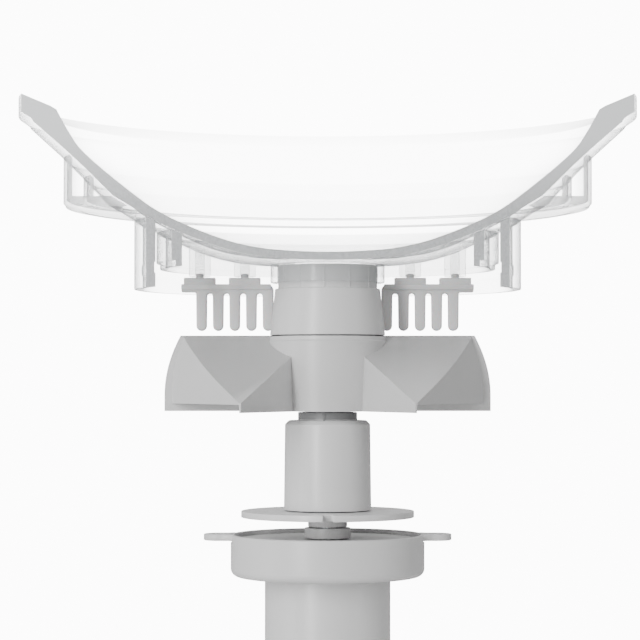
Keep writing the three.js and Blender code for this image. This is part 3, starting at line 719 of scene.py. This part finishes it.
def screw_mesh():
    """A pan-head screw standing on its shank, head underside at the origin, with a cross recess."""
    length, shank, head = 6, 1.0, 2.0
    profile = [(0, -length), (shank - 0.4, -length), (shank, 0.4 - length), (shank, 0)]
    profile += [(head, 0), (head, 0.55), (1.75, 0.9), (1.2, 1.08), (0, 1.1)]
    screw = turned("screw_shape", profile, SMALL)
    arm, half, floor = 1.15, 0.22, 0.55
    first = slab("cross", (-arm, -half, floor), (arm, half, 2))
    second = slab("cross", (-half, -arm, floor), (half, arm, 2))
    return clean(without(screw, first, second))


def ring_of(name, shape, count, radius, height, first, tilt, material):
    """Copies of a shape on a circle round +Z, made by Geometry Nodes and turned into one mesh."""
    tree = bpy.data.node_groups.new(name, "GeometryNodeTree")
    tree.is_modifier = True
    face = tree.interface
    inputs = {}
    for label, kind, value in (
        ("Count", "NodeSocketInt", count),
        ("Radius", "NodeSocketFloat", radius * MM),
        ("Height", "NodeSocketFloat", height * MM),
        ("First angle", "NodeSocketFloat", math.radians(first)),
    ):
        socket = face.new_socket(label, in_out="INPUT", socket_type=kind)
        inputs[label] = (socket.identifier, value)
    face.new_socket("Geometry", in_out="OUTPUT", socket_type="NodeSocketGeometry")
    given = add(tree, "NodeGroupInput").outputs
    points = add(tree, "GeometryNodePoints", {"Count": given["Count"]})
    index = add(tree, "GeometryNodeInputIndex")
    step = add(tree, "ShaderNodeMath", {0: 2 * math.pi, 1: given["Count"]}, operation="DIVIDE")
    angle = add(
        tree,
        "ShaderNodeMath",
        {0: index.outputs[0], 1: step.outputs[0], 2: given["First angle"]},
        operation="MULTIPLY_ADD",
    )
    cosine = add(tree, "ShaderNodeMath", {0: angle.outputs[0]}, operation="COSINE")
    sine = add(tree, "ShaderNodeMath", {0: angle.outputs[0]}, operation="SINE")
    across = add(tree, "ShaderNodeMath", {0: cosine.outputs[0], 1: given["Radius"]}, operation="MULTIPLY")
    along = add(tree, "ShaderNodeMath", {0: sine.outputs[0], 1: given["Radius"]}, operation="MULTIPLY")
    spot = {0: across.outputs[0], 1: along.outputs[0], 2: given["Height"]}
    spot = add(tree, "ShaderNodeCombineXYZ", spot)
    moved = {"Geometry": points.outputs[0], "Position": spot.outputs[0]}
    placed = add(tree, "GeometryNodeSetPosition", moved)
    turn = add(tree, "ShaderNodeCombineXYZ", {1: math.radians(tilt), 2: angle.outputs[0]})
    source = add(tree, "GeometryNodeObjectInfo", {"Object": shape})
    copies = add(
        tree,
        "GeometryNodeInstanceOnPoints",
        {"Points": placed.outputs[0], "Instance": source.outputs["Geometry"], "Rotation": turn.outputs[0]},
    )
    real = add(tree, "GeometryNodeRealizeInstances", {"Geometry": copies.outputs[0]})
    coated = add(tree, "GeometryNodeSetMaterial", {"Geometry": real.outputs[0], "Material": material})
    add(tree, "NodeGroupOutput", {"Geometry": coated.outputs[0]})
    made = bpy.data.objects.new(name, bpy.data.meshes.new(name))
    bpy.context.scene.collection.objects.link(made)
    modifier = made.modifiers.new("ring", "NODES")
    modifier.node_group = tree
    for identifier, value in inputs.values():
        modifier[identifier] = value
    return settle(made)


def make_screws():
    steel = finish_of("steel")
    shape = screw_mesh()
    lid_screws = ring_of("lid_screw_ring", shape, 4, LID_SCREW_SPREAD, LID_SCREW_SEAT, 45, 180, steel)
    nodes = [f"lid_screw_{i}" for i in range(1, 5)]
    ready(smooth(lid_screws), "motor_unit", nodes, "steel", steel)
    foot_screws = ring_of("foot_screw_ring", shape, 3, COLLAR_RADIUS + GAP, 12, -90, 90, steel)
    nodes = [f"foot_screw_{i}" for i in range(1, 4)]
    ready(smooth(foot_screws), "motor_unit", nodes, "steel", steel)
    bpy.data.objects.remove(shape)


# ---------------------------------------------------------------- drive line

DISC_RADIUS = high("index_disc", 0)
DISC_TOP = high("index_disc", 2)
SLEEVE_BOTTOM = low("drive_sleeve", 2)
SLEEVE_RADIUS = high("drive_sleeve", 0)
SLEEVE_SHOULDER = 99.0
NECK_RADIUS = 8.9
NECK_TOP = 101.4


def make_disc():
    hub_radius, hub_bottom, disc_bottom = 5.9, low("index_disc", 2), DISC_TOP - 1.9
    profile = [
        (SHAFT_BORE, hub_bottom),
        (hub_radius, hub_bottom),
        (hub_radius, disc_bottom),
        (DISC_RADIUS, disc_bottom),
        (DISC_RADIUS, DISC_TOP),
        (SHAFT_BORE, DISC_TOP),
    ]
    plate = turned("index_disc_plate", profile, fillet=0.2)
    notch = slab("notch", (-1.5, -DISC_RADIUS - 1, disc_bottom - 1), (1.5, 4 - DISC_RADIUS, DISC_TOP + 1))
    plate = smooth(softened(clean(without(plate, notch)), 0.12))
    ready(plate, "rotor_unit", ["index_disc"], "pale_abs", finish_of("pale_abs"))


def make_sleeve():
    profile = [
        (SHAFT_BORE, SLEEVE_BOTTOM),
        (SLEEVE_RADIUS, SLEEVE_BOTTOM),
        (SLEEVE_RADIUS - 0.3, SLEEVE_SHOULDER - 1.2),
        (SLEEVE_RADIUS - 1.5, SLEEVE_SHOULDER),
        (NECK_RADIUS, SLEEVE_SHOULDER),
        (NECK_RADIUS, NECK_TOP),
        (SHAFT_BORE, NECK_TOP),
    ]
    sleeve = turned("drive_sleeve_body", profile, fillet=0.25)
    hexagon = arc((0, 0), 6.6, 0, 300, 5)
    dog = prism("dog", hexagon, NECK_TOP - 0.5, high("drive_sleeve", 2))
    bore = disc("bore", SHAFT_BORE, NECK_TOP - 2, high("drive_sleeve", 2) + 1)
    key = slab(
        "key",
        (-1.3, -NECK_RADIUS - 0.25, SLEEVE_SHOULDER - 0.1),
        (-0.85, -NECK_RADIUS + 1, NECK_TOP),
    )
    sleeve = smooth(clean(without(joined(sleeve, dog, key), bore)))
    # painted shade: the neck above the shoulder gets the darker finish, in place of the rotor's shadow on it
    mark(sleeve, 1, lambda at: at.z > SLEEVE_SHOULDER + 0.3)
    ready(sleeve, "rotor_unit", ["drive_sleeve"], "pale_abs", finish_of("pale_abs"), finish_of("dark_abs"))


# ---------------------------------------------------------------- rotor

ROTOR_BOTTOM = low("rotor", 2)
RIDGE = 124.35
ROTOR_RIM = high("rotor", 0)
ROOF_SLOPE = math.radians(25.2)
GABLE_TAPER = 0.53  # how fast a wing's end panels narrow it, away from the rib
POCKET_HALF = math.radians(25.9)
POCKET_APEX = 8.3  # the pocket's walls meet this far beyond the axis
HUB_TOP = 124.0
RIB_HALF = 0.8


def sweep_line(rim_inset, ridge_inset):
    """The sweep's radius from its upright foot, in along an arc, to the ridge, less the insets."""
    upright_top, ridge_radius = 106.5, 44.1
    steps = 14
    line = []
    for i in range(steps + 1):
        share = i / steps
        radius = ROTOR_RIM + (ridge_radius - ROTOR_RIM) * share**2
        inset = rim_inset + (ridge_inset - rim_inset) * share
        line.append((radius - inset, upright_top + (RIDGE - upright_top) * share))
    return line


def sweep(name):
    """Everything inside the rotor's sweep."""
    line, top = sweep_line(0, 0), RIDGE + 1
    foot = [(0, ROTOR_BOTTOM), (ROTOR_RIM, ROTOR_BOTTOM)]
    return turned(name, [*foot, *line, (line[-1][0], top), (0, top)], FINE)


def between_gables(name, grow):
    """Everything between the wings' end panels, which follow the sweep a little inside it at the rib."""
    inset = sizes().inset / MM - grow
    line = sweep_line(inset, inset - 0.8)
    foot, top = ROTOR_BOTTOM - 5, RIDGE + 5
    made = turned(name, [(0, foot), (line[0][0], foot), *line, (line[-1][0], top), (0, top)], 4)
    made.data.transform(Matrix.Diagonal((1, 1 / GABLE_TAPER, 1, 1)))
    return made


def roof(name, lowered):
    """Roof-shaped prism with its ridge along X, lowered by the given amount."""
    reach = 60
    ridge = RIDGE - lowered
    drop = reach * math.tan(ROOF_SLOPE)
    section = [(-reach, 60), (reach, 60), (reach, ridge - drop), (0, ridge), (-reach, ridge - drop)]
    made = prism(name, section, -reach, reach)
    stand = Matrix(((0, 0, 1, 0), (1, 0, 0, 0), (0, 1, 0, 0), (0, 0, 0, 1)))
    made.data.transform(stand)
    return made


def pockets(name, grow):
    """Everything inside the two open pockets, with their walls moved outwards by the given amount."""
    tip = -grow / math.sin(POCKET_HALF) - POCKET_APEX
    span = 80
    wide = span * math.tan(POCKET_HALF)
    wedge = [(0, tip), (wide, span + tip), (-wide, span + tip)]
    rear = prism(name, wedge, ROTOR_BOTTOM - 6, RIDGE + 6)
    front = turn_z(prism(name, wedge, ROTOR_BOTTOM - 6, RIDGE + 6), 180)
    return joined(rear, front)


def hub_solid(name):
    profile = [(0, ROTOR_BOTTOM), (16.2, ROTOR_BOTTOM), (17.9, 122.5), (17.55, 122.9)]
    profile += [(17.4, HUB_TOP), (0, HUB_TOP)]
    return turned(name, profile, FINE)


def rib_slab(name):
    """The flat rib along both wings, before it is trimmed to the sweep and the roof."""
    return slab(name, (-61, -RIB_HALF, ROTOR_BOTTOM - 7), (61, RIB_HALF, RIDGE + 6))


def block(name, top):
    """A block wider than the rotor, from below it up to the given height."""
    return slab(name, (-60, -60, ROTOR_BOTTOM - 5), (60, 60, top))


def make_rotor():
    lip, wall, panel_bottom, overhang = sizes().lip / MM, 2.2, 104.0, 0.4
    foot = common(disc("foot", 62, ROTOR_BOTTOM - 2, panel_bottom, ROUND), pockets("foot_walls", lip))
    wings = joined(between_gables("rotor_wings", overhang), rib_slab("rib"), foot)
    wings = common(wings, sweep("sweep"), roof("roof", 0))
    wings = without(wings, pockets("pockets", 0))
    kept = (between_gables("panel", 0), pockets("walls", lip), rib_slab("rib_kept"))
    gable_cut = without(block("gable_cut", RIDGE + 5), *kept)
    gable_cut = common(gable_cut, roof("under_roof", lip))
    core = common(between_gables("core", -wall), roof("core_roof", wall))
    core = without(core, pockets("core_walls", wall), rib_slab("core_rib"), hub_solid("core_hub"))
    hub_room = disc("under_hub", 20, ROTOR_BOTTOM - 6, panel_bottom + 1, ROUND)
    kept = (pockets("under_walls", lip), rib_slab("under_rib"), hub_room)
    under_cut = without(block("under_cut", panel_bottom), *kept)
    rotor = without(wings, gable_cut, under_cut, core)
    rotor = joined(rotor, hub_solid("hub"))
    seat = turned("seat", [(12.2, 123), (14.2, 123), (14.2, 127), (12.2, 127)], ROUND)
    rotor = joined(rotor, seat)
    hexagon = arc((0, 0), 7.0, 0, 300, 5)
    socket = prism("socket", hexagon, ROTOR_BOTTOM - 1, high("drive_sleeve", 2) + GAP)
    bore = disc("bore", SHAFT_BORE, ROTOR_BOTTOM, RIDGE)
    rotor = without(rotor, socket, bore, disc("counterbore", 11, 116, 130))
    rotor = smooth(softened(clean(rotor), 0.2, 30))
    ready(rotor, "rotor_unit", ["rotor"], "grey_abs", finish_of("grey_abs"))


def make_cap():
    bottom, top = low("rotor_cap", 2), high("rotor_cap", 2)
    foot_radius, cone_top, shoulder, spigot, wall = 17.3, 138.3, 15.75, 14.7, 2.1
    profile = [
        (foot_radius - wall, bottom),
        (foot_radius, bottom),
        (shoulder, cone_top),
        (spigot, cone_top),
        (spigot, top),
        (spigot - wall, top),
        (spigot - wall, cone_top - 1),
    ]
    cap = smooth(turned("rotor_cap_cone", profile, FINE, fillet=0.3))
    ready(cap, "rotor_unit", ["rotor_cap"], "pale_abs", finish_of("pale_abs"))
    width = sizes().rib_width / MM
    rib = softened(slab("rib", (-0.3, -width / 2, 0), (0.2, width / 2, top - cone_top - 0.4)), 0.12)
    ribs = ring_of("spigot_ribs", rib, 12, spigot, cone_top + 0.05, -94, 0, finish_of("pale_abs"))
    ready(smooth(ribs), "rotor_unit", [], "pale_abs", finish_of("pale_abs"))
    bpy.data.objects.remove(rib)


# ---------------------------------------------------------------- hopper

CUT_Y = low("hopper_bowl", 1)
BOWL_INSIDE = [(24, 148.2), (32, 149.6), (41, 152.9), (53.8, 159.4), (63.4, 166.8), (74.7, 177)]
BOWL_INSIDE += [(78.9, 183), (82.4, 189.6)]
RIM_TOP = [(84, 190.6), (92.2, 194.2)]
RIM_UNDERSIDE = [(92.2, 188.9), (89.4, 187), (88.8, 186), (80.1, 178.1), (74.4, 172.5), (66.7, 164.4)]
BOWL_OUTSIDE = [(55, 157), (42, 150.7), (32.6, 147.3), (24, 145.9)]
BOWL_FLOOR = 148.2
BOWL_UNDERSIDE = 145.9
SKY = 215.0
COMB_Y = 10.0
POST_PLACES = (25.2, 38.9)
POST_RADIUS = 3.3
CHAMBER_RADIUS = 57.9


def along_curve(a, b, c, d, t):
    """One coordinate of a smooth curve from b to c, given its neighbours and how far along it is."""
    bend = 2 * a - 5 * b + 4 * c - d
    twist = 3 * b - a - 3 * c + d
    return 0.5 * (2 * b + (c - a) * t + bend * t**2 + twist * t**3)


def curved(points, pieces):
    """A smooth line through the given points, with about the given number of pieces for each span."""
    ends = [tuple(2 * a - b for a, b in zip(points[0], points[1]))]
    tail = [tuple(2 * a - b for a, b in zip(points[-1], points[-2]))]
    knots = ends + list(points) + tail
    line = []
    for p0, p1, p2, p3 in zip(knots, knots[1:], knots[2:], knots[3:]):
        for i in range(pieces):
            t = i / pieces
            line.append(tuple(along_curve(*knot, t) for knot in zip(p0, p1, p2, p3)))
    return line + [points[-1]]


def bowl_space(name):
    """All of the space inside the bowl and above it."""
    profile = [(0, BOWL_FLOOR)] + curved(BOWL_INSIDE, 5) + RIM_TOP + [(95, SKY), (0, SKY)]
    return turned(name, profile)


def bowl_and_above(name):
    """The bowl and everything above it, let down by a gap, to trim the pieces under it."""
    underside = curved([RIM_UNDERSIDE[-1]] + BOWL_OUTSIDE, 5)
    profile = [(0, BOWL_UNDERSIDE)] + underside[::-1] + RIM_UNDERSIDE[-2::-1] + [(95, SKY), (0, SKY)]
    made = turned(name, profile)
    made.data.transform(Matrix.Translation((0, 0, -0.35 * MM)))
    return made


def cut_open(obj):
    """Cuts the piece along the section plane and closes it with faces of the second material."""
    bm = bmesh.new()
    bm.from_mesh(obj.data)
    result = bmesh.ops.bisect_plane(
        bm,
        geom=bm.verts[:] + bm.edges[:] + bm.faces[:],
        dist=1e-7,
        plane_co=(0, CUT_Y * MM, 0),
        plane_no=(0, -1, 0),
        clear_outer=True,
    )
    edges = [e for e in result["geom_cut"] if isinstance(e, bmesh.types.BMEdge)]
    filled = bmesh.ops.triangle_fill(bm, use_beauty=True, use_dissolve=False, edges=edges)
    for face in filled["geom"]:
        if isinstance(face, bmesh.types.BMFace):
            face.material_index = 1
            face.normal_update()
            if face.normal.y > 0:
                face.normal_flip()
    bm.to_mesh(obj.data)
    bm.free()
    return obj


def clear_piece(obj, nodes, finish="clear_plastic", section="cut"):
    """Finishes a clear piece of the hopper: smooth, its own finish on its section, and hazy posts."""
    smooth(clean(obj), 30)
    finishes = [finish_of(key) for key in (finish, section, "hazy_plastic")]
    ready(obj, "hopper_unit", nodes, "clear_plastic", *finishes)


def outlet_sector():
    """The outlet window's outline, a ring sector round the azimuth of +Y."""
    return arc((0, 0), 44, 60, 120, 24) + arc((0, 0), 20, 120, 60, 16)


def on_post(across):
    """Whether a place across the feeder, in millimetres, lies on one of the combs' posts."""
    return min(abs(abs(across) - place) for place in POST_PLACES) < POST_RADIUS + 0.05


def make_bowl():
    profile = [(0, BOWL_FLOOR)] + curved(BOWL_INSIDE, 5) + RIM_TOP + RIM_UNDERSIDE
    profile += curved([RIM_UNDERSIDE[-1]] + BOWL_OUTSIDE, 5)[1:] + [(0, BOWL_UNDERSIDE)]
    bowl = turned("hopper_bowl_clear", profile)
    boss = turned("boss", [(0, 143), (10.35, 143), (10.35, 146.5), (0, 146.5)], ROUND, fillet=0.2)
    bowl = joined(bowl, boss)
    for side in (-1, 1):
        for place in POST_PLACES:
            profile = [(1.5, 142.4), (POST_RADIUS, 142.4), (POST_RADIUS, 156), (1.5, 156)]
            post = turned("post", profile, MEDIUM, fillet=0.5)
            post.data.transform(Matrix.Translation((side * place * MM, COMB_Y * MM, 0)))
            bowl = joined(bowl, without(post, bowl_space("space")))
    outlet = prism("outlet", outlet_sector(), BOWL_UNDERSIDE - 1, BOWL_FLOOR + 10)
    bowl = cut_open(clean(without(bowl, outlet)))
    reach = POST_RADIUS + 0.05
    mark(bowl, 2, lambda at: at.z < 150 and abs(at.y - COMB_Y) < reach and on_post(at.x))
    clear_piece(bowl, ["hopper_bowl"])


def make_skirt():
    outer, inner, ledge_bottom, ledge_top = 78.9, 73.0, 161.5, 164.4
    chamber, seam = CHAMBER_RADIUS, 160.2
    profile = [
        (chamber - 2.5, seam),
        (chamber, seam),
        (chamber + 3, ledge_bottom),
        (outer - 5, ledge_bottom),
        (outer - 4.6, ledge_bottom + 0.5),
        (outer - 0.7, ledge_bottom + 0.8),
        (outer, ledge_top),
        (chamber - 2.5, ledge_top),
    ]
    skirt = turned("hopper_skirt_clear", profile, fillet=0.15)
    for radius in (outer, inner):
        ring = [(radius - 1, ledge_top - 1), (radius, ledge_top - 1), (radius, 186), (radius - 1, 186)]
        skirt = joined(skirt, turned("ring", ring))
    skirt = cut_open(clean(without(skirt, bowl_and_above("bowl"))))
    clear_piece(skirt, ["hopper_skirt"], section="thin_cut")


def make_chamber():
    outer, top, bottom = CHAMBER_RADIUS, high("chamber_wall", 2), low("chamber_wall", 2)
    inner = outer - 2.5
    profile = [
        (inner, bottom),
        (outer, bottom),
        (outer, top),
        (inner, top),
        (inner, 145.4),
        (inner + 0.3, 145.1),
        (inner + 0.3, 142.3),
        (inner, 142),
    ]
    wall = turned("chamber_wall_clear", profile, fillet=0.12)
    wall = cut_open(clean(without(wall, bowl_and_above("bowl"))))
    clear_piece(wall, ["chamber_wall"], "hazy_plastic")


def make_guide_ring():
    outer, inner, lip = 51.3, 48.6, 50.2
    bottom, lip_top = low("guide_ring", 2), 145.8
    profile = [(inner, bottom), (lip, bottom), (lip, lip_top), (outer, lip_top), (outer, 170), (inner, 170)]
    ring = turned("guide_ring_clear", profile, fillet=0.12)
    ring = cut_open(clean(without(ring, bowl_and_above("bowl"))))
    clear_piece(ring, ["guide_ring"], "hazy_plastic")


def make_collar():
    bottom, top = low("hopper_collar", 2), high("hopper_collar", 2)
    outer, bore = 17.1, 15.1
    profile = [(bore, bottom), (outer, bottom), (outer, top), (bore, top)]
    collar = turned("hopper_collar_clear", profile, FINE, fillet=0.3)
    clear_piece(collar, ["hopper_collar"], "hazy_plastic")


# ---------------------------------------------------------------- combs

COMB = {"pitch": 5.05, "inner": 18.1, "root": 3.4, "tip": 3.2, "tip_z": 125.9, "gap_top": 137.3}
COMB |= {"bar_bottom": 137.65, "bar_top": 140.15, "fingers": 5}
COMB_BAR = (16.4, 44.5)


def comb_outline():
    """Outline in X and Z: a bar with a round inner shoulder, and five fingers with round ends and gaps."""
    half_root, half_tip = COMB["root"] / 2, COMB["tip"] / 2
    tip_centre = COMB["tip_z"] + half_tip
    gap = (COMB["pitch"] - COMB["root"]) / 2
    outline = [(COMB_BAR[1], COMB["bar_top"])]
    outline += arc((COMB_BAR[0] + 2, COMB["bar_top"] - 2), 2, 90, 180, 8)
    for i in range(COMB["fingers"]):
        centre = COMB["inner"] + i * COMB["pitch"]
        outline += arc((centre, tip_centre), half_tip, 180, 360, 14)
        if i < COMB["fingers"] - 1:
            outline += arc((centre + COMB["pitch"] / 2, COMB["gap_top"] - gap), gap, 180, 0, 10)
    outline += [(centre + half_root, COMB["bar_bottom"]), (COMB_BAR[1], COMB["bar_bottom"])]
    return outline


def make_comb(word, side):
    thickness = sizes().finger / MM
    comb = prism(f"comb_{word}_moulding", comb_outline(), -thickness / 2, thickness / 2)
    comb = softened(comb, 0.55, 40, 3)
    for place in POST_PLACES:
        pad = slab("pad", (place - 4.8, 139.6, -2), (place + 4.8, 142.1, 2))
        comb = joined(comb, softened(pad, 0.3))
    bar = slab("bar", (COMB_BAR[0] + 0.8, 138.4, -2), (COMB_BAR[1], COMB["bar_top"], 2))
    comb = joined(comb, softened(bar, 0.3))
    upright = Matrix(((side, 0, 0, 0), (0, 0, side, COMB_Y * MM), (0, 1, 0, 0), (0, 0, 0, 1)))
    comb.data.transform(upright)
    bm = bmesh.new()
    bm.from_mesh(comb.data)
    for level in range(8):
        height = Vector((0, 0, (127.5 + 1.4 * level) * MM))
        whole = bm.verts[:] + bm.edges[:] + bm.faces[:]
        bmesh.ops.bisect_plane(bm, geom=whole, dist=1e-7, plane_co=height, plane_no=(0, 0, 1))
    bmesh.ops.recalc_face_normals(bm, faces=bm.faces)
    bm.to_mesh(comb.data)
    bm.free()
    smooth(clean(comb), 40)
    comb.data.materials.clear()
    comb.data.materials.append(finish_of("silicone"))
    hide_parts(f"comb_bar_{word}", f"comb_fingers_{word}")
    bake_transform(comb)


def make_comb_pegs(word, side):
    profile = [(0, 141.8), (1.2, 141.8), (1.2, 143.1), (0.9, 143.4), (0, 143.4)]
    for i, place in enumerate(POST_PLACES):
        peg = turned(f"comb_peg_{word}_{i + 1}", profile, SMALL)
        peg.data.transform(Matrix.Translation((side * place * MM, COMB_Y * MM, 0)))
        ready(smooth(peg), "hopper_unit", [], "silicone", finish_of("silicone"))


def make_combs():
    for word, side in (("left", -1), ("right", 1)):
        make_comb(word, side)
        make_comb_pegs(word, side)


# ---------------------------------------------------------------- stage


def area_light(name, place, aim, size, energy):
    data = bpy.data.lights.new(name, "AREA")
    data.shape = "RECTANGLE"
    data.size, data.size_y = size
    data.energy = energy
    made = bpy.data.objects.new(name, data)
    made.location = place
    made.rotation_euler = (Vector(aim) - Vector(place)).to_track_quat("-Z", "Y").to_euler()
    bpy.context.scene.collection.objects.link(made)


def make_floor():
    """A pale floor under the object that thins out to nothing, so that no horizon shows."""
    bm = bmesh.new()
    bmesh.ops.create_circle(bm, cap_ends=True, segments=96, radius=300)
    floor = object_from("studio_floor", bm)
    material, tree, output, place = new_material("matt_floor_paint")
    paint = add(tree, "ShaderNodeBsdfPrincipled", {"Base Color": colours().floor, "Roughness": 0.9})
    nothing = add(tree, "ShaderNodeBsdfTransparent")
    reach = add(tree, "ShaderNodeVectorMath", {0: place}, operation="LENGTH")
    fade = add(
        tree,
        "ShaderNodeMapRange",
        {"Value": reach.outputs["Value"], "From Min": 70.0, "From Max": 250.0},
        interpolation_type="SMOOTHSTEP",
    )
    parts = {0: fade.outputs[0], 1: paint.outputs[0], 2: nothing.outputs[0]}
    blend = add(tree, "ShaderNodeMixShader", parts)
    tree.links.new(blend.outputs[0], output.inputs["Surface"])
    floor.data.materials.append(material)
    floor.location.z = -0.0005


def make_world():
    """A white backdrop to look at, and soft light that is dimmer from below, above and the right."""
    world = bpy.data.worlds.new("white_studio")
    bpy.context.scene.world = world
    world.use_nodes = True
    tree = world.node_tree
    tree.nodes.clear()
    towards = add(tree, "ShaderNodeTexCoord")
    split = add(tree, "ShaderNodeSeparateXYZ", {"Vector": towards.outputs["Generated"]})
    under = add(
        tree,
        "ShaderNodeMapRange",
        {"Value": split.outputs["Z"], "From Min": -0.45, "From Max": 0.05, "To Min": 0.2, "To Max": 0.9},
    )
    over = add(
        tree,
        "ShaderNodeMapRange",
        {"Value": split.outputs["Z"], "From Min": 0.25, "From Max": 1.0, "To Min": 1.0, "To Max": 0.6},
    )
    sideways = add(
        tree,
        "ShaderNodeMapRange",
        {"Value": split.outputs["X"], "From Min": -0.9, "From Max": 0.9, "To Min": 1.05, "To Max": 0.7},
    )
    both = add(tree, "ShaderNodeMath", {0: under.outputs[0], 1: over.outputs[0]}, operation="MULTIPLY")
    graded = add(tree, "ShaderNodeMath", {0: both.outputs[0], 1: sideways.outputs[0]}, operation="MULTIPLY")
    soft = add(tree, "ShaderNodeBackground", {"Color": (1, 1, 1, 1), "Strength": graded.outputs[0]})
    white = add(tree, "ShaderNodeBackground", {"Color": (1, 1, 1, 1), "Strength": 12.0})
    path = add(tree, "ShaderNodeLightPath")
    direct = add(
        tree,
        "ShaderNodeMath",
        {0: path.outputs["Is Camera Ray"], 1: path.outputs["Is Transmission Ray"]},
        operation="MAXIMUM",
    )
    clear = add(tree, "ShaderNodeMath", {0: path.outputs["Diffuse Depth"], 1: 0.5}, operation="LESS_THAN")
    seen = add(tree, "ShaderNodeMath", {0: direct.outputs[0], 1: clear.outputs[0]}, operation="MULTIPLY")
    mixed = add(tree, "ShaderNodeMixShader", {0: seen.outputs[0], 1: soft.outputs[0], 2: white.outputs[0]})
    add(tree, "ShaderNodeOutputWorld", {"Surface": mixed.outputs[0]})


def make_camera():
    """The viewpoint, level with the rotor and a little below the hopper."""
    data = bpy.data.cameras.new("camera")
    data.lens = 126.8
    data.sensor_width = 36
    data.clip_start, data.clip_end = 0.05, 50
    camera = bpy.data.objects.new("camera", data)
    camera.location = (-0.00228, -0.6765, 0.1113)
    camera.rotation_euler = (math.radians(91.5), 0, 0)
    bpy.context.scene.collection.objects.link(camera)
    bpy.context.scene.camera = camera


def make_lights():
    """A narrow key light on the left, and dimmer lights at the sides and behind."""
    area_light("key", (-0.50, -0.85, 0.32), (0, 0, 0.11), (0.10, 0.9), 10)
    area_light("side", (-1.0, -0.35, 0.2), (0, 0, 0.11), (0.4, 0.9), 2.5)
    area_light("fill", (0.9, -0.5, 0.30), (0, 0, 0.12), (0.3, 0.9), 1.2)
    area_light("back", (0.1, 0.9, 0.8), (0, 0, 0.14), (1.2, 0.6), 3)


# ---------------------------------------------------------------- operators, panel and main


class FeederOperator:
    """What every step has in common: it runs its makers and raises on any failure."""

    bl_options = {"REGISTER", "UNDO"}
    makers = ()

    def execute(self, context):
        for make in self.makers:
            make()
        return {"FINISHED"}


class FEEDER_OT_stage(FeederOperator, bpy.types.Operator):
    """Make the camera, the floor, the white surroundings and the lights"""

    bl_idname = "feeder.stage"
    bl_label = "Stage"
    makers = (make_camera, make_floor, make_world, make_lights)


class FEEDER_OT_motor_unit(FeederOperator, bpy.types.Operator):
    """Make the foot, motor can and gearbox"""

    bl_idname = "feeder.motor_unit"
    bl_label = "Motor Unit"
    makers = (make_foot, make_can, make_drum, make_lid, make_bush)


class FEEDER_OT_screws(FeederOperator, bpy.types.Operator):
    """Make the screws of the lid and the foot"""

    bl_idname = "feeder.screws"
    bl_label = "Screws"
    makers = (make_screws,)


class FEEDER_OT_drive_line(FeederOperator, bpy.types.Operator):
    """Make the index disc and the drive sleeve"""

    bl_idname = "feeder.drive_line"
    bl_label = "Drive Line"
    makers = (make_disc, make_sleeve)


class FEEDER_OT_rotor(FeederOperator, bpy.types.Operator):
    """Make the rotor and its cap"""

    bl_idname = "feeder.rotor"
    bl_label = "Rotor"
    makers = (make_rotor, make_cap)


class FEEDER_OT_hopper(FeederOperator, bpy.types.Operator):
    """Make the clear hopper pieces with their cut faces"""

    bl_idname = "feeder.hopper"
    bl_label = "Hopper"
    makers = (make_bowl, make_skirt, make_chamber, make_guide_ring, make_collar)


class FEEDER_OT_combs(FeederOperator, bpy.types.Operator):
    """Make the two soft combs"""

    bl_idname = "feeder.combs"
    bl_label = "Combs"
    makers = (make_combs,)


class FEEDER_OT_inner_pieces(FeederOperator, bpy.types.Operator):
    """Give the pieces that are shown as they are their finishes"""

    bl_idname = "feeder.inner_pieces"
    bl_label = "Inner Pieces"

    def execute(self, context):
        for row in frame["record"]["subparts"]:
            node = frame["nodes"][row["node"]]
            if not node.hide_render:
                paint(row["node"], finish_of(row["material_slot"]))
        return {"FINISHED"}


STEPS = (
    FEEDER_OT_stage,
    FEEDER_OT_motor_unit,
    FEEDER_OT_screws,
    FEEDER_OT_drive_line,
    FEEDER_OT_rotor,
    FEEDER_OT_hopper,
    FEEDER_OT_combs,
    FEEDER_OT_inner_pieces,
)


class FEEDER_PT_panel(bpy.types.Panel):
    """Lists the sizes, the colours and the steps"""

    bl_idname = "FEEDER_PT_panel"
    bl_label = "Pet Feeder"
    bl_space_type = "VIEW_3D"
    bl_region_type = "UI"
    bl_category = "Feeder"

    def draw(self, context):
        for group in (context.scene.feeder_sizes, context.scene.feeder_colours):
            for key in group.__annotations__:
                self.layout.prop(group, key)
        for step in STEPS:
            self.layout.operator(step.bl_idname)


CLASSES = (FeederSizes, FeederColours, *STEPS, FEEDER_PT_panel)


def register():
    for cls in CLASSES:
        bpy.utils.register_class(cls)
    bpy.types.Scene.feeder_sizes = bpy.props.PointerProperty(type=FeederSizes)
    bpy.types.Scene.feeder_colours = bpy.props.PointerProperty(type=FeederColours)


def unregister():
    del bpy.types.Scene.feeder_colours
    del bpy.types.Scene.feeder_sizes
    for cls in reversed(CLASSES):
        bpy.utils.unregister_class(cls)


def main():
    register()
    for step in STEPS:
        group, name = step.bl_idname.split(".")
        getattr(getattr(bpy.ops, group), name)()


if __name__ == "__main__":
    main()
